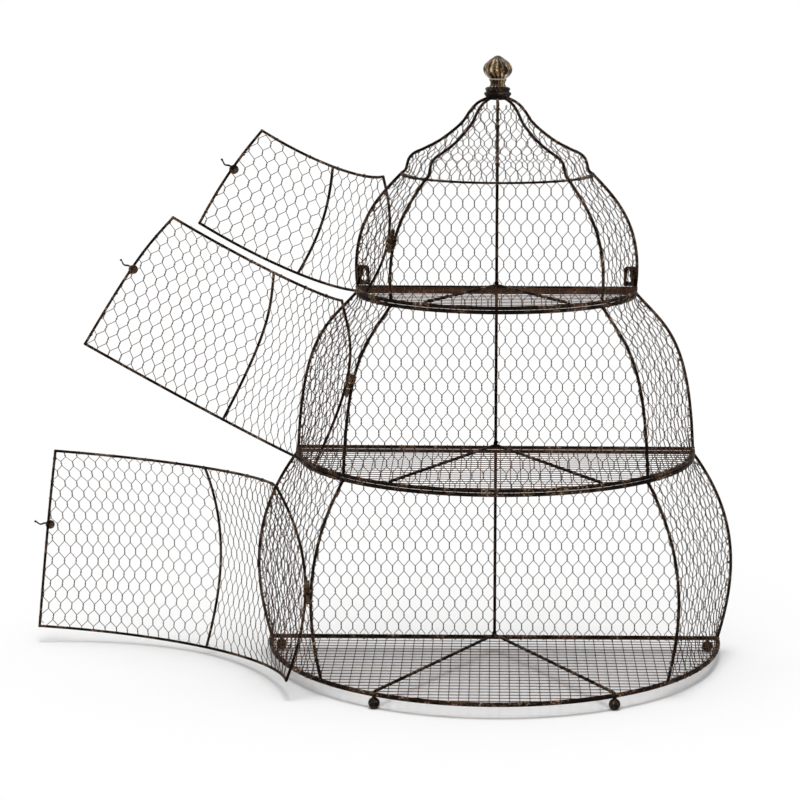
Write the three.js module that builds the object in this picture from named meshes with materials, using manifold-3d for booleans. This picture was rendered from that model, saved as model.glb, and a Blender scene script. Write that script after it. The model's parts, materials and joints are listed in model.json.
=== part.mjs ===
// Half-round bird cage in three tiers under a dome, flat at the back so that it can hang on a wall.
// Each tier has a D-shaped floor, bowed ribs, wire netting and one bowed door on its left front rib.
// The origin is on the rear of the lowest back bar, at the middle. +Z is up and the front faces -Y.
import * as THREE from 'three';
import { mergeVertices } from 'three/addons/utils/BufferGeometryUtils.js';
import Module from 'manifold-3d';

const wasm = await Module();
wasm.setup();

// Clearances
const seatGap = 0.3;
const netGap = 0.9;
const weldSink = 0.5;
const cutRun = 40;

// Rod radii
const floorRod = 3;
const bandRod = 2.5;
const hoopDraw = 0.05;
const ringRod = 1.5;
const ribRod = 2;
const domeRod = 1.9;
const spokeRod = 2;
const doorRod = 1.8;

// The four levels of the cage and the dome over them
const floorRadius = 301;
const lowerBandRadius = 262.8;
const upperBandRadius = 183;
const ringRadius = 125;
const lowerHeight = 256.4;
const middleHeight = 209.8;
const upperHeight = 150.4;
const domeHeight = 96;
const frontRibAngle = 43;
const spokeAngle = 60;

// Netting and floor mesh
const netWidth = 2.4;
const netThick = 1.6;
const meshWidth = 2.2;
const meshThick = 1.6;
const meshPitch = 63;

// Doors: how far the frame stands outside the ribs and beside the jambs, and its ends above and below
const doorStandoff = 2.6;
const doorSideGap = 4.4;
const doorFloorGap = 6;
const doorTopGap = 7.4;

// Hinge barrels
const hingeReach = 5.3;
const knuckleRadius = 2.3;
const knuckleBore = 1.35;
const pinRadius = 1;
const lowerKnuckle = 10;
const middleKnuckle = 7;
const upperKnuckle = 11;
const leafThick = 1.4;
const lugWidth = 2.4;
const pinHeadRadius = 1.9;
const pinHeadHeight = 0.9;

// Latches: a disc on the free edge of each door carries a small wire hook
const discRadius = 6.3;
const discThick = 1.6;
const discInset = 2.9;
const hubRadius = 3;
const hubHeight = 2.6;
const hookRod = 1.1;
const hookReach = 20;
const hookBall = 1.7;

// Feet, hanger plates and finial
const footBall = 7.5;
const footNeck = 2.6;
const footDrop = 11;
const footFlat = 2.4;
const backFootInset = 13;
const plateThick = 1.5;
const plateWidth = 13;
const plateHeight = 26;
const plateCorner = 6;
const keyholeRadius = 3.9;
const keyslotWidth = 4.4;
const keyholeRise = 8.8;
const keyslotTop = 21;
const collarRadius = 17.8;
const collarHeight = 14.5;
const spigotRadius = 12.2;
const spigotHeight = 5.7;
const backNetDrop = 11.4;
const glassRadius = 18.1;
const glassHeight = 40.5;
const glassLobes = 8;
const facetsPerLobe = 3;
const lobeDepth = 0.9;
const lobeStartShare = 0.24;

// Facet counts
const rodSides = 6;
const barSides = 8;
const roundSides = 16;
const hoopSteps = 24;
const meshSteps = 16;
const ribSteps = 8;
const domeSteps = 12;
const doorArcSteps = 10;
const hookSteps = 6;
const plateSteps = 8;
const ballSteps = 5;

const ironDark = 0x2c221c;
const netGrey = 0x3a3330;
const amber = 0x8f6f42;

// Rods are drawn as flat-sided bars round the true circle; this is how far their corners stand out
const corner = (radius, sides) => radius / Math.cos(Math.PI / sides);
const rad = THREE.MathUtils.degToRad;
const backY = -floorRod;

const cage = new THREE.Group();
cage.name = 'bird_cage';

function addMesh(parent, name, geometry, color = ironDark, roughness = 0.5, metalness = 0.75) {
  const mesh = new THREE.Mesh(geometry, new THREE.MeshStandardMaterial({ color, roughness, metalness }));
  mesh.name = name;
  parent.add(mesh);
  return mesh;
}

// Solids
function solidOf(geometry) {
  const bare = geometry.clone();
  bare.deleteAttribute('normal');
  bare.deleteAttribute('uv');
  const merged = mergeVertices(bare, 1e-4);
  return new wasm.Manifold(new wasm.Mesh({
    numProp: 3,
    vertProperties: new Float32Array(merged.attributes.position.array),
    triVerts: new Uint32Array(merged.index.array),
  }));
}

function geometryOf(solid) {
  const mesh = solid.getMesh();
  const geometry = new THREE.BufferGeometry();
  geometry.setAttribute('position', new THREE.BufferAttribute(new Float32Array(mesh.vertProperties), 3));
  geometry.setIndex(new THREE.BufferAttribute(new Uint32Array(mesh.triVerts), 1));
  geometry.computeVertexNormals();
  return geometry;
}

const joined = (geometries) =>
  geometryOf(geometries.map(solidOf).reduce((sum, solid) => sum.add(solid)));

function rodSection(radius, sides) {
  const reach = corner(radius, sides);
  return new THREE.Shape(Array.from({ length: sides }, (_, i) => {
    const angle = ((i + 0.5) * 2 * Math.PI) / sides;
    return new THREE.Vector2(reach * Math.cos(angle), reach * Math.sin(angle));
  }));
}

const rod = (path, radius, steps = 1, sides = rodSides) =>
  new THREE.ExtrudeGeometry(rodSection(radius, sides), { extrudePath: path, steps, bevelEnabled: false });

const bar = (from, to, radius, sides = rodSides) => rod(new THREE.LineCurve3(from, to), radius, 1, sides);

function slab(low, high) {
  const box = new THREE.BoxGeometry(4 * floorRadius, 4 * floorRadius, high - low);
  box.translate(0, 0, (low + high) / 2);
  return solidOf(box);
}

// Plan directions: azimuth 0 is +X, 90 degrees the front, 180 degrees -X
const outward = (azimuth) => new THREE.Vector3(Math.cos(azimuth), -Math.sin(azimuth), 0);
const sideways = (azimuth) => new THREE.Vector3(-Math.sin(azimuth), -Math.cos(azimuth), 0);
const onPlan = (azimuth, radius, z) =>
  outward(azimuth).multiplyScalar(radius).add(new THREE.Vector3(0, backY, z));

class PlanArc extends THREE.Curve {
  constructor(radius, z, from, to) {
    super();
    Object.assign(this, { radius, z, from, to });
  }
  getPoint(t, target = new THREE.Vector3()) {
    return target.copy(onPlan(this.from + (this.to - this.from) * t, this.radius, this.z));
  }
}

// A rib bows in one upright plane: its profile is a curve of radius against height
class BowedRib extends THREE.Curve {
  constructor(profile, azimuth, from = 0, to = 1, shift = new THREE.Vector3()) {
    super();
    Object.assign(this, { profile, azimuth, from, to, shift });
  }
  getPoint(t, target = new THREE.Vector3()) {
    const point = this.profile.getPoint(this.from + (this.to - this.from) * t);
    return target.copy(onPlan(this.azimuth, point.x, point.y)).add(this.shift);
  }
}

// Where a profile reaches a height, as a share of its run
function shareAt(profile, z) {
  let low = 0;
  let high = 1;
  for (let i = 0; i < 30; i++) {
    const middle = (low + high) / 2;
    if (profile.getPoint(middle).y < z) low = middle;
    else high = middle;
  }
  return (low + high) / 2;
}

// A point of a profile moved inward by a distance square to the curve
function insetPoint(profile, share, depth) {
  const point = profile.getPoint(share);
  const tangent = profile.getTangent(share);
  return new THREE.Vector2(point.x - depth * tangent.y, point.y + depth * tangent.x);
}

// The profiles of the tiers: handles as shares of the tier's radii and height
function tierProfile(baseRadius, topRadius, base, height, handleShares) {
  const [lowReach, lowRise, highReach, highRise] = handleShares;
  return new THREE.CubicBezierCurve(
    new THREE.Vector2(baseRadius, base),
    new THREE.Vector2(baseRadius * lowReach, base + height * lowRise),
    new THREE.Vector2(baseRadius * highReach, base + height * highRise),
    new THREE.Vector2(topRadius, base + height),
  );
}

const lowerTop = lowerHeight;
const middleBase = lowerTop + 2 * bandRod + seatGap;
const middleTop = middleBase + middleHeight;
const upperBase = middleTop + 2 * bandRod + seatGap;
const upperTop = upperBase + upperHeight;
const domeTop = upperTop + domeHeight;

const lowerShares = [1.08, 0.33, 1.095, 0.654];
const middleShares = [0.972, 0.736, 0.849, 0.784];
const upperShares = [1.053, 0.545, 0.86, 0.778];
const domeRiseShares = [0, 0.049, 0.13, 0.207, 0.278, 0.334, 0.446, 0.589, 0.711, 0.844, 0.942];
const domeRadiusShares = [1, 0.958, 0.939, 0.919, 0.864, 0.77, 0.605, 0.456, 0.357, 0.287, 0.204];

const ribEndRadius = spigotRadius + domeRod;
const domeProfile = new THREE.SplineCurve([
  ...domeRadiusShares.map((share, i) =>
    new THREE.Vector2(ringRadius * share, upperTop + domeHeight * domeRiseShares[i])),
  new THREE.Vector2(ribEndRadius, domeTop),
]);

const tiers = [
  {
    name: 'lower', base: 0, top: lowerTop, baseRod: floorRod, topRod: bandRod,
    baseRadius: floorRadius, topRadius: lowerBandRadius, shares: lowerShares,
    hingeShare: 0.468, hingeTilt: 0.1, hingeSwing: 2.6, openAngle: 215.7, latchShare: 0.567,
    backCells: [7, 3], sideCells: [3, 2], doorCells: [5, 3],
  },
  {
    name: 'middle', base: middleBase, top: middleTop, baseRod: bandRod, topRod: bandRod,
    baseRadius: lowerBandRadius, topRadius: upperBandRadius, shares: middleShares,
    hingeShare: 0.545, hingeTilt: 0.8, hingeSwing: -0.7, openAngle: 204.1, latchShare: 0.587,
    backCells: [6, 3], sideCells: [3, 2], doorCells: [5, 3],
  },
  {
    name: 'upper', base: upperBase, top: upperTop, baseRod: bandRod, topRod: ringRod,
    baseRadius: upperBandRadius, topRadius: ringRadius, shares: upperShares,
    hingeShare: 0.5, hingeTilt: -0.4, hingeSwing: 2.1, openAngle: 203.9, latchShare: 0.6,
    backCells: [5, 4], sideCells: [2, 2], doorCells: [4, 2],
  },
];
for (const tier of tiers) {
  tier.profile = tierProfile(tier.baseRadius, tier.topRadius, tier.base, tier.top - tier.base, tier.shares);
}

const leftJamb = rad(180 - frontRibAngle);
const rightJamb = rad(frontRibAngle);

// Hoops, bars and spokes
const hoop = (radius, z, rodRadius) =>
  rod(new PlanArc(radius, z, 0, Math.PI), rodRadius - hoopDraw, hoopSteps);

const backBar = (radius, z, rodRadius) => bar(
  new THREE.Vector3(-radius - rodRadius, backY, z),
  new THREE.Vector3(radius + rodRadius, backY, z),
  rodRadius, barSides);

const spokeRise = meshThick / 2 + seatGap + corner(spokeRod, rodSides);

for (const tier of tiers) {
  const spokeZ = tier.base + spokeRise;
  const spokes = [rad(spokeAngle), rad(180 - spokeAngle)].map((azimuth) => bar(
    new THREE.Vector3(0, backY, spokeZ), onPlan(azimuth, tier.baseRadius - spokeRod, spokeZ), spokeRod));
  addMesh(cage, `${tier.name}_floor_frame`, joined([
    hoop(tier.baseRadius, tier.base, tier.baseRod),
    backBar(tier.baseRadius, tier.base, tier.baseRod),
    ...spokes,
  ]));
}

for (const tier of tiers.slice(0, 2)) {
  addMesh(cage, `${tier.name}_top_hoop`, joined([
    hoop(tier.topRadius, tier.top, tier.topRod),
    backBar(tier.topRadius, tier.top, tier.topRod),
  ]));
}

// The ring under the dome is an arc only, between the two outer ribs
const ringClear = Math.asin((corner(ribRod, rodSides) + seatGap) / ringRadius);
addMesh(cage, 'ring', rod(
  new PlanArc(ringRadius, upperTop, ringClear, Math.PI - ringClear), ringRod, hoopSteps));

// Ribs stand between the hoops, cut flat at their ends
for (const tier of tiers) {
  const between = slab(tier.base + tier.baseRod + seatGap, tier.top - tier.topRod - seatGap);
  const topOpen = slab(tier.base + tier.baseRod + seatGap, tier.top);
  for (const [name, azimuth] of [
    ['rib_right', 0], ['jamb_right', rightJamb], ['jamb_left', leftJamb], ['rib_left', Math.PI],
  ]) {
    // The upper tier's outer ribs run past the ends of the ring, up to the dome ribs
    const cut = tier.topRod === ringRod && name.startsWith('rib') ? topOpen : between;
    const rib = solidOf(rod(new BowedRib(tier.profile, azimuth), ribRod, ribSteps)).intersect(cut);
    addMesh(cage, `${tier.name}_${name}`, geometryOf(rib));
  }
}

// The spine stands on the spokes' crossing at each floor and ends under the bar or the collar above
const spigotBase = domeTop - spigotHeight + domeRod;
for (const tier of tiers) {
  const foot = tier.base + spokeRise + corner(spokeRod, rodSides) + seatGap;
  const head = tier.topRod === ringRod ? spigotBase - seatGap : tier.top - tier.topRod - seatGap;
  addMesh(cage, `${tier.name}_spine`, bar(
    new THREE.Vector3(0, backY, foot), new THREE.Vector3(0, backY, head), ribRod, barSides));
}

// Lattice panels. The cells are flat polygons, anticlockwise, that share their corners. Each cell gets a
// gap, strands run between neighbours, and an edge strand runs round the panel.
// place(x, y, depth) sets a flat point on the panel's surface.
const filledShare = 0.5;
const cornerKey = (point) => `${point.x.toFixed(3)} ${point.y.toFixed(3)}`;

function latticePanel(cells, wire, thick, place) {
  const owner = new Map();
  const keys = cells.map((cell) => cell.map(cornerKey));
  keys.forEach((names, c) => names.forEach((name, i) => {
    owner.set(`${name}|${names[(i + 1) % names.length]}`, { c, i });
  }));
  const positions = [];
  const triangles = [];
  const addPoint = (point) => {
    for (const depth of [0, thick]) positions.push(...place(point.x, point.y, depth).toArray());
    return positions.length / 6 - 1;
  };
  // Both faces of a polygon; a point's back copy comes first, then its front copy
  const addFaces = (points) => {
    for (let i = 1; i + 1 < points.length; i++) {
      const [a, b, c] = [points[0], points[i], points[i + 1]];
      triangles.push(2 * a + 1, 2 * b + 1, 2 * c + 1, 2 * a, 2 * c, 2 * b);
    }
  };
  const addWall = (a, b) => triangles.push(2 * a, 2 * b, 2 * b + 1, 2 * a, 2 * b + 1, 2 * a + 1);
  const rim = new Map();
  const rimPoint = (point) => {
    const name = cornerKey(point);
    if (!rim.has(name)) rim.set(name, addPoint(point));
    return rim.get(name);
  };

  // The gap of a cell: its sides moved in by half a wire, or by a whole one at the panel's edge
  const gaps = cells.map((cell, c) => {
    const count = cell.length;
    const sides = cell.map((point, i) => {
      const along = cell[(i + 1) % count].clone().sub(point).normalize();
      const open = !owner.has(`${keys[c][(i + 1) % count]}|${keys[c][i]}`);
      const inward = new THREE.Vector2(-along.y, along.x).multiplyScalar(open ? wire : wire / 2);
      return { along, start: point.clone().add(inward) };
    });
    const inner = cell.map((point, i) => {
      const before = sides[(i + count - 1) % count];
      const after = sides[i];
      const turn = before.along.cross(after.along);
      const share = after.start.clone().sub(before.start).cross(after.along) / turn;
      return before.start.clone().addScaledVector(before.along, share);
    });
    const open = inner.every((point, i) =>
      inner[(i + 1) % count].clone().sub(point).dot(sides[i].along) > 0);
    const middle = cell.reduce((sum, point) => sum.add(point), new THREE.Vector2()).divideScalar(count);
    const corners = open ? inner : cell.map((point) => point.clone().lerp(middle, filledShare));
    return { open, corners: corners.map(addPoint) };
  });

  cells.forEach((cell, c) => {
    const count = cell.length;
    if (!gaps[c].open) addFaces(gaps[c].corners);
    cell.forEach((point, i) => {
      const j = (i + 1) % count;
      const [a, b] = [gaps[c].corners[i], gaps[c].corners[j]];
      if (gaps[c].open) addWall(b, a);
      const twin = owner.get(`${keys[c][j]}|${keys[c][i]}`);
      if (!twin) {
        const [rimA, rimB] = [rimPoint(point), rimPoint(cell[j])];
        addFaces([rimA, rimB, b, a]);
        addWall(rimA, rimB);
      } else if (twin.c > c) {
        const other = gaps[twin.c].corners;
        addFaces([other[(twin.i + 1) % other.length], other[twin.i], b, a]);
      }
    });
  });

  // Where three or more strands meet, or two meet the edge
  const met = new Set();
  cells.forEach((cell, c) => cell.forEach((point, i) => {
    if (met.has(keys[c][i])) return;
    met.add(keys[c][i]);
    const nameAt = (at, step) => keys[at.c][(at.i + step + keys[at.c].length) % keys[at.c].length];
    const ahead = (at) => owner.get(`${nameAt(at, 0)}|${nameAt(at, -1)}`);
    const behind = (at) => {
      const twin = owner.get(`${nameAt(at, 1)}|${nameAt(at, 0)}`);
      return twin && { c: twin.c, i: (twin.i + 1) % keys[twin.c].length };
    };
    let first = { c, i };
    for (let at = behind(first); at && at.c !== c; at = behind(at)) first = at;
    const onRim = !behind(first);
    const ring = onRim ? [rimPoint(point)] : [];
    let at = first;
    do {
      ring.push(gaps[at.c].corners[at.i]);
      at = ahead(at);
    } while (at && at.c !== first.c);
    addFaces(ring);
  }));

  const geometry = new THREE.BufferGeometry();
  geometry.setAttribute('position', new THREE.Float32BufferAttribute(positions, 3));
  geometry.setIndex(triangles);
  geometry.computeVertexNormals();
  return geometry;
}

// The part of a cell inside a convex outline, both anticlockwise
function clipped(cell, outline) {
  let points = cell;
  outline.forEach((start, i) => {
    const along = outline[(i + 1) % outline.length].clone().sub(start).normalize();
    const inside = (point) => along.cross(point.clone().sub(start));
    points = points.flatMap((point, k) => {
      const next = points[(k + 1) % points.length];
      const [here, there] = [inside(point), inside(next)];
      const kept = here >= 0 ? [point] : [];
      if (here * there < 0) kept.push(point.clone().lerp(next, here / (here - there)));
      return kept;
    });
  });
  const names = points.map(cornerKey);
  return points.filter((point, i) => names[i] !== names[(i + 1) % names.length]);
}

// A bare net: rows of six-sided cells, cut off at a rectangle
const twistShare = 0.28;
function netting(columns, rows, width, height, place) {
  const outline = [[0, 0], [width, 0], [width, height], [0, height]].map((xy) => new THREE.Vector2(...xy));
  const wide = width / columns;
  const tall = height / rows;
  const shoulder = tall * twistShare;
  const peak = tall - shoulder;
  const cells = [];
  for (let row = 0; row <= rows; row++) {
    const shift = row % 2 ? 0 : 0.5;
    for (let column = 0; column + shift <= columns; column++) {
      const middle = new THREE.Vector2(wide * (column + shift), tall * row);
      const cell = [
        [0, -peak], [wide / 2, -shoulder], [wide / 2, shoulder],
        [0, peak], [-wide / 2, shoulder], [-wide / 2, -shoulder],
      ].map((xy) => new THREE.Vector2(...xy).add(middle));
      cells.push(clipped(cell, outline));
    }
  }
  return latticePanel(cells, netWidth, netThick, (x, y, depth) => place(x / width, y / height, depth));
}

// Floor meshes: a flat D of square welded mesh inside each floor hoop
for (const tier of tiers) {
  const edge = tier.baseRadius - corner(tier.baseRod, rodSides) - netGap;
  const straight = tier.baseRod + seatGap;
  const start = Math.asin(straight / edge);
  const outline = Array.from({ length: meshSteps + 1 }, (_, i) => {
    const angle = start + ((Math.PI - 2 * start) * i) / meshSteps;
    return new THREE.Vector2(edge * Math.cos(angle), edge * Math.sin(angle));
  });
  const reach = Math.ceil(edge / meshPitch);
  const cells = [];
  for (let column = -reach; column < reach; column++) {
    for (let row = 0; row < reach; row++) {
      const cell = clipped([[0, 0], [1, 0], [1, 1], [0, 1]].map(([right, away]) => new THREE.Vector2(
        (column + right) * meshPitch, straight + (row + away) * meshPitch)), outline);
      if (cell.length > 2) cells.push(cell);
    }
  }
  addMesh(cage, `${tier.name}_floor_mesh`, latticePanel(cells, meshWidth, meshThick,
    (x, y, depth) => new THREE.Vector3(-x, backY - y, tier.base - meshThick / 2 + depth)), netGrey);
}

// The back nets lie in front of the spine, out to the outer ribs
const netDepth = corner(ribRod, rodSides) + netGap;
const backInset = netDepth + ringRod;
for (const tier of tiers) {
  const low = tier.base + spokeRise + corner(spokeRod, rodSides) + seatGap;
  const isTop = tier.topRod === ringRod;
  const high = isTop ? domeTop - backNetDrop : tier.top - tier.topRod - seatGap;
  const halfWidth = (z) => (z > tier.top && isTop
    ? domeProfile.getPoint(shareAt(domeProfile, z)).x
    : tier.profile.getPoint(shareAt(tier.profile, z)).x);
  addMesh(cage, `${tier.name}_back_net`, netting(
    ...tier.backCells, 2 * halfWidth((low + high) / 2), high - low,
    (u, v, depth) => {
      const z = low + (high - low) * v;
      return new THREE.Vector3((2 * u - 1) * (halfWidth(z) - backInset), backY - netDepth - depth, z);
    }), netGrey);
}

// A bowed net is stretched nearly flat between two upright rods and follows the hoops only at its ends
const edgeHold = 4;
function bowedNet(profile, cells, low, high, inset, azimuths, endGaps) {
  const from = shareAt(profile, low);
  const to = shareAt(profile, high);
  const middle = insetPoint(profile, (from + to) / 2, inset);
  const panels = azimuths.length - 1;
  const width = middle.x * (azimuths[panels] - azimuths[0]);
  const height = profile.getLength() * (to - from);
  return netting(...cells, width, height, (u, v, depth) => {
    const point = insetPoint(profile, from + (to - from) * v, inset + netThick - depth);
    const start = azimuths[0] + Math.asin(endGaps[0] / point.x);
    const end = azimuths[panels] - Math.asin(endGaps[1] / point.x);
    const azimuth = start + (end - start) * (1 - u);
    const stops = [start, ...azimuths.slice(1, -1), end];
    const passed = stops.filter((stop) => azimuth >= stop).length;
    const panel = THREE.MathUtils.clamp(passed, 1, panels) - 1;
    const half = (stops[panel + 1] - stops[panel]) / 2;
    const fromMiddle = azimuth - stops[panel] - half;
    const chord = (point.x * Math.cos(half)) / Math.cos(fromMiddle);
    const hold = Math.abs(2 * v - 1) ** edgeHold;
    return onPlan(azimuth, chord + (point.x - chord) * hold, point.y);
  });
}

const sideBackGap = netDepth + netThick + seatGap + netWidth;
for (const tier of tiers) {
  const low = tier.base + tier.baseRod + seatGap + netThick;
  const high = tier.top - tier.topRod - seatGap - netThick;
  addMesh(cage, `${tier.name}_side_net_right`, bowedNet(
    tier.profile, tier.sideCells, low, high, netDepth, [0, rightJamb], [sideBackGap, 0]), netGrey);
  addMesh(cage, `${tier.name}_side_net_left`, bowedNet(
    tier.profile, tier.sideCells, low, high, netDepth, [leftJamb, Math.PI], [0, sideBackGap]), netGrey);
}

// Doors: each is drawn closed, then swung open about its hinge to lie against the cage's side
for (const tier of tiers) {
  const { name, profile } = tier;
  const low = tier.base + doorFloorGap;
  const high = tier.top - doorTopGap;
  const doorHeight = high - low;
  const standoff = new THREE.Vector2(doorStandoff, 0);
  const face = new THREE.CubicBezierCurve(
    ...[profile.v0, profile.v1, profile.v2, profile.v3].map((point) => point.clone().add(standoff)));
  const from = shareAt(face, low);
  const to = shareAt(face, high);
  const hingeSide = sideways(leftJamb).multiplyScalar(-doorSideGap);
  const freeSide = sideways(rightJamb).multiplyScalar(doorSideGap);

  const doorArc = (z) => {
    const radius = face.getPoint(shareAt(face, z)).x;
    const edge = Math.asin((doorSideGap - doorRod) / radius);
    return rod(new PlanArc(radius, z, rightJamb + edge, leftJamb - edge), doorRod, doorArcSteps);
  };
  const frame = [
    rod(new BowedRib(face, leftJamb, from, to, hingeSide), doorRod, ribSteps),
    rod(new BowedRib(face, rightJamb, from, to, freeSide), doorRod, ribSteps),
    rod(new BowedRib(face, Math.PI / 2, from, to), doorRod, ribSteps),
    doorArc(low),
    doorArc(high),
  ];

  // Hinge axis: outside the jamb, and turned a little from the jamb's own slope
  const hingeZ = low + doorHeight * tier.hingeShare;
  const jambShare = shareAt(profile, hingeZ);
  const slope = profile.getTangent(jambShare);
  const normal = outward(leftJamb).multiplyScalar(slope.y).add(new THREE.Vector3(0, 0, -slope.x));
  const jambPoint = onPlan(leftJamb, profile.getPoint(jambShare).x, hingeZ);
  const pivot = jambPoint.clone().addScaledVector(normal, hingeReach);
  const lean = Math.atan2(-slope.x, slope.y) + rad(tier.hingeTilt);
  const axis = new THREE.Vector3(0, 0, Math.cos(lean))
    .addScaledVector(outward(leftJamb), -Math.sin(lean))
    .addScaledVector(sideways(leftJamb), Math.sin(rad(tier.hingeSwing))).normalize();
  const square = (vector) => vector.addScaledVector(axis, -vector.dot(axis));
  const framed = (geometry, along) => {
    const side = square(along.clone()).normalize();
    return geometry.applyMatrix4(new THREE.Matrix4().makeBasis(
      side, new THREE.Vector3().crossVectors(axis, side), axis).setPosition(pivot));
  };
  const toJamb = normal.clone().negate();
  const toDoor = square(jambPoint.clone().add(hingeSide)
    .addScaledVector(outward(leftJamb), doorStandoff).sub(pivot));

  // Barrel: the middle knuckle and the pin stay on the jamb, the outer two turn with the door
  const barrelLength = lowerKnuckle + middleKnuckle + upperKnuckle + 2 * seatGap;
  const lowerEnd = -barrelLength / 2 + lowerKnuckle;
  const upperStart = lowerEnd + 2 * seatGap + middleKnuckle;
  const ringSection = (start, length) => [
    [knuckleBore, start], [corner(knuckleRadius, barSides), start],
    [corner(knuckleRadius, barSides), start + length], [knuckleBore, start + length],
    [knuckleBore, start],
  ].map(([r, z]) => new THREE.Vector2(r, z));
  const upright = (geometry) => geometry.rotateX(Math.PI / 2);
  const knuckle = (start, length) =>
    framed(upright(new THREE.LatheGeometry(ringSection(start, length), barSides)), toJamb);
  const leaf = (start, length) => {
    const inner = (knuckleBore + knuckleRadius) / 2;
    const reach = toDoor.length() - inner;
    const plate = new THREE.BoxGeometry(reach, leafThick, length);
    return framed(plate.translate(inner + reach / 2, 0, start + length / 2), toDoor);
  };
  for (const [start, length] of [[-barrelLength / 2, lowerKnuckle], [upperStart, upperKnuckle]]) {
    frame.push(knuckle(start, length), leaf(start, length));
  }

  // Latch disc on the outer side of the free edge, set in a little towards the netting
  const latchZ = low + doorHeight * tier.latchShare;
  const latchShare = shareAt(face, latchZ);
  const latchSlope = face.getTangent(latchShare);
  const latchNormal = outward(rightJamb).multiplyScalar(latchSlope.y)
    .add(new THREE.Vector3(0, 0, -latchSlope.x));
  const beyond = sideways(rightJamb).negate();
  const latchCentre = onPlan(rightJamb, face.getPoint(latchShare).x, latchZ).add(freeSide)
    .addScaledVector(beyond, -discInset);
  const latched = (geometry) => geometry.applyMatrix4(new THREE.Matrix4().makeBasis(
    beyond, new THREE.Vector3().crossVectors(latchNormal, beyond), latchNormal)
    .setPosition(latchCentre));
  const discBase = doorRod - weldSink;
  const disc = new THREE.CylinderGeometry(discRadius, discRadius, discThick, barSides);
  frame.push(latched(upright(disc).translate(0, 0, discBase + discThick / 2)));

  const swing = new THREE.Group();
  const turn = new THREE.Quaternion().setFromAxisAngle(axis, -rad(tier.openAngle));
  swing.quaternion.copy(turn);
  swing.position.copy(pivot).sub(pivot.clone().applyQuaternion(turn));
  cage.add(swing);
  addMesh(swing, `${name}_door_frame`, joined(frame));

  const doorNetDepth = corner(doorRod, rodSides) + netGap;
  addMesh(swing, `${name}_door_net`, bowedNet(
    face, tier.doorCells, low + netThick + seatGap, high, doorNetDepth,
    [rightJamb, Math.PI / 2, leftJamb], [doorSideGap, doorSideGap]), netGrey);

  // Latch hook: a hub on the disc and a wavy wire arm with a ball at its tip
  const hubBase = discBase + discThick + seatGap;
  const armHeight = hubBase + hubHeight / 2;
  const waveShares = [[0, 0], [0.35, 0.03], [0.62, -0.07], [0.8, 0.02], [1, 0.1]];
  const arm = new THREE.CatmullRomCurve3(waveShares.map(([along, rise]) =>
    new THREE.Vector3(hookReach * along, hookReach * rise, armHeight)));
  const hub = upright(new THREE.CylinderGeometry(hubRadius, hubRadius, hubHeight, barSides));
  const ball = new THREE.SphereGeometry(hookBall, rodSides, rodSides - 2);
  const [tipAlong, tipRise] = waveShares[waveShares.length - 1];
  addMesh(swing, `${name}_latch_hook`, joined([
    hub.translate(0, 0, hubBase + hubHeight / 2),
    rod(arm, hookRod, hookSteps),
    ball.translate(hookReach * tipAlong, hookReach * tipRise, armHeight),
  ].map(latched)));

  // Hinge spindle on the jamb: pin, middle knuckle and the lug that is welded to the jamb
  const lugEnd = hingeReach - corner(ribRod, rodSides) - seatGap;
  const lug = new THREE.BoxGeometry(lugEnd, lugWidth, middleKnuckle);
  const middleStart = lowerEnd + seatGap;
  const pinLength = barrelLength + 2 * (seatGap + pinHeadHeight);
  const head = () => new THREE.CylinderGeometry(pinHeadRadius, pinHeadRadius, pinHeadHeight, rodSides);
  const headRise = (pinLength - pinHeadHeight) / 2;
  addMesh(cage, `${name}_hinge_spindle`, joined([
    upright(new THREE.CylinderGeometry(pinRadius, pinRadius, pinLength, rodSides)),
    upright(head()).translate(0, 0, headRise),
    upright(head()).translate(0, 0, -headRise),
    upright(new THREE.CylinderGeometry(
      knuckleRadius, knuckleRadius, middleKnuckle, barSides)).translate(
      0, 0, middleStart + middleKnuckle / 2),
    lug.translate(lugEnd / 2, 0, middleStart + middleKnuckle / 2),
  ].map((geometry) => framed(geometry, toJamb))));
}

// Dome: five ribs run from the ring to the collar's spigot, over one net
for (const [name, azimuth] of [
  ['dome_rib_right', 0], ['dome_rib_front_right', rightJamb], ['dome_rib_front', Math.PI / 2],
  ['dome_rib_front_left', leftJamb], ['dome_rib_left', Math.PI],
]) {
  const low = upperTop + (azimuth % Math.PI ? ringRod + seatGap : seatGap);
  const rib = solidOf(rod(new BowedRib(domeProfile, azimuth), domeRod, domeSteps))
    .intersect(slab(low, domeTop + cutRun));
  addMesh(cage, name, geometryOf(rib));
}
const domeNetLow = upperTop + ringRod + seatGap + netThick;
const domeNetTop = domeTop - spigotHeight;
addMesh(cage, 'dome_net', bowedNet(
  domeProfile, [6, 3], domeNetLow, domeNetTop, netDepth + netGap / 2,
  [0, rightJamb, Math.PI / 2, leftJamb, Math.PI], [sideBackGap, sideBackGap]), netGrey);

// Collar: a spigot that the ribs end on, then two rolled lips with a groove between
const collarBase = spigotBase + spigotHeight;
const collarShares = [[1, 0.4], [0.98, 0.5], [0.86, 0.57], [0.89, 0.78], [0.92, 0.86], [0.8, 1]];
const collarOutline = [
  new THREE.Vector2(0, spigotBase), new THREE.Vector2(spigotRadius, spigotBase),
  new THREE.Vector2(spigotRadius, collarBase),
  ...collarShares.map(([reach, rise]) =>
    new THREE.Vector2(collarRadius * reach, collarBase + collarHeight * rise)),
  new THREE.Vector2(0, collarBase + collarHeight),
];
const onAxis = (geometry) => geometry.rotateX(Math.PI / 2).translate(0, backY, 0);
addMesh(cage, 'collar', onAxis(new THREE.LatheGeometry(collarOutline, roundSides)), ironDark, 0.4, 0.85);

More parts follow.
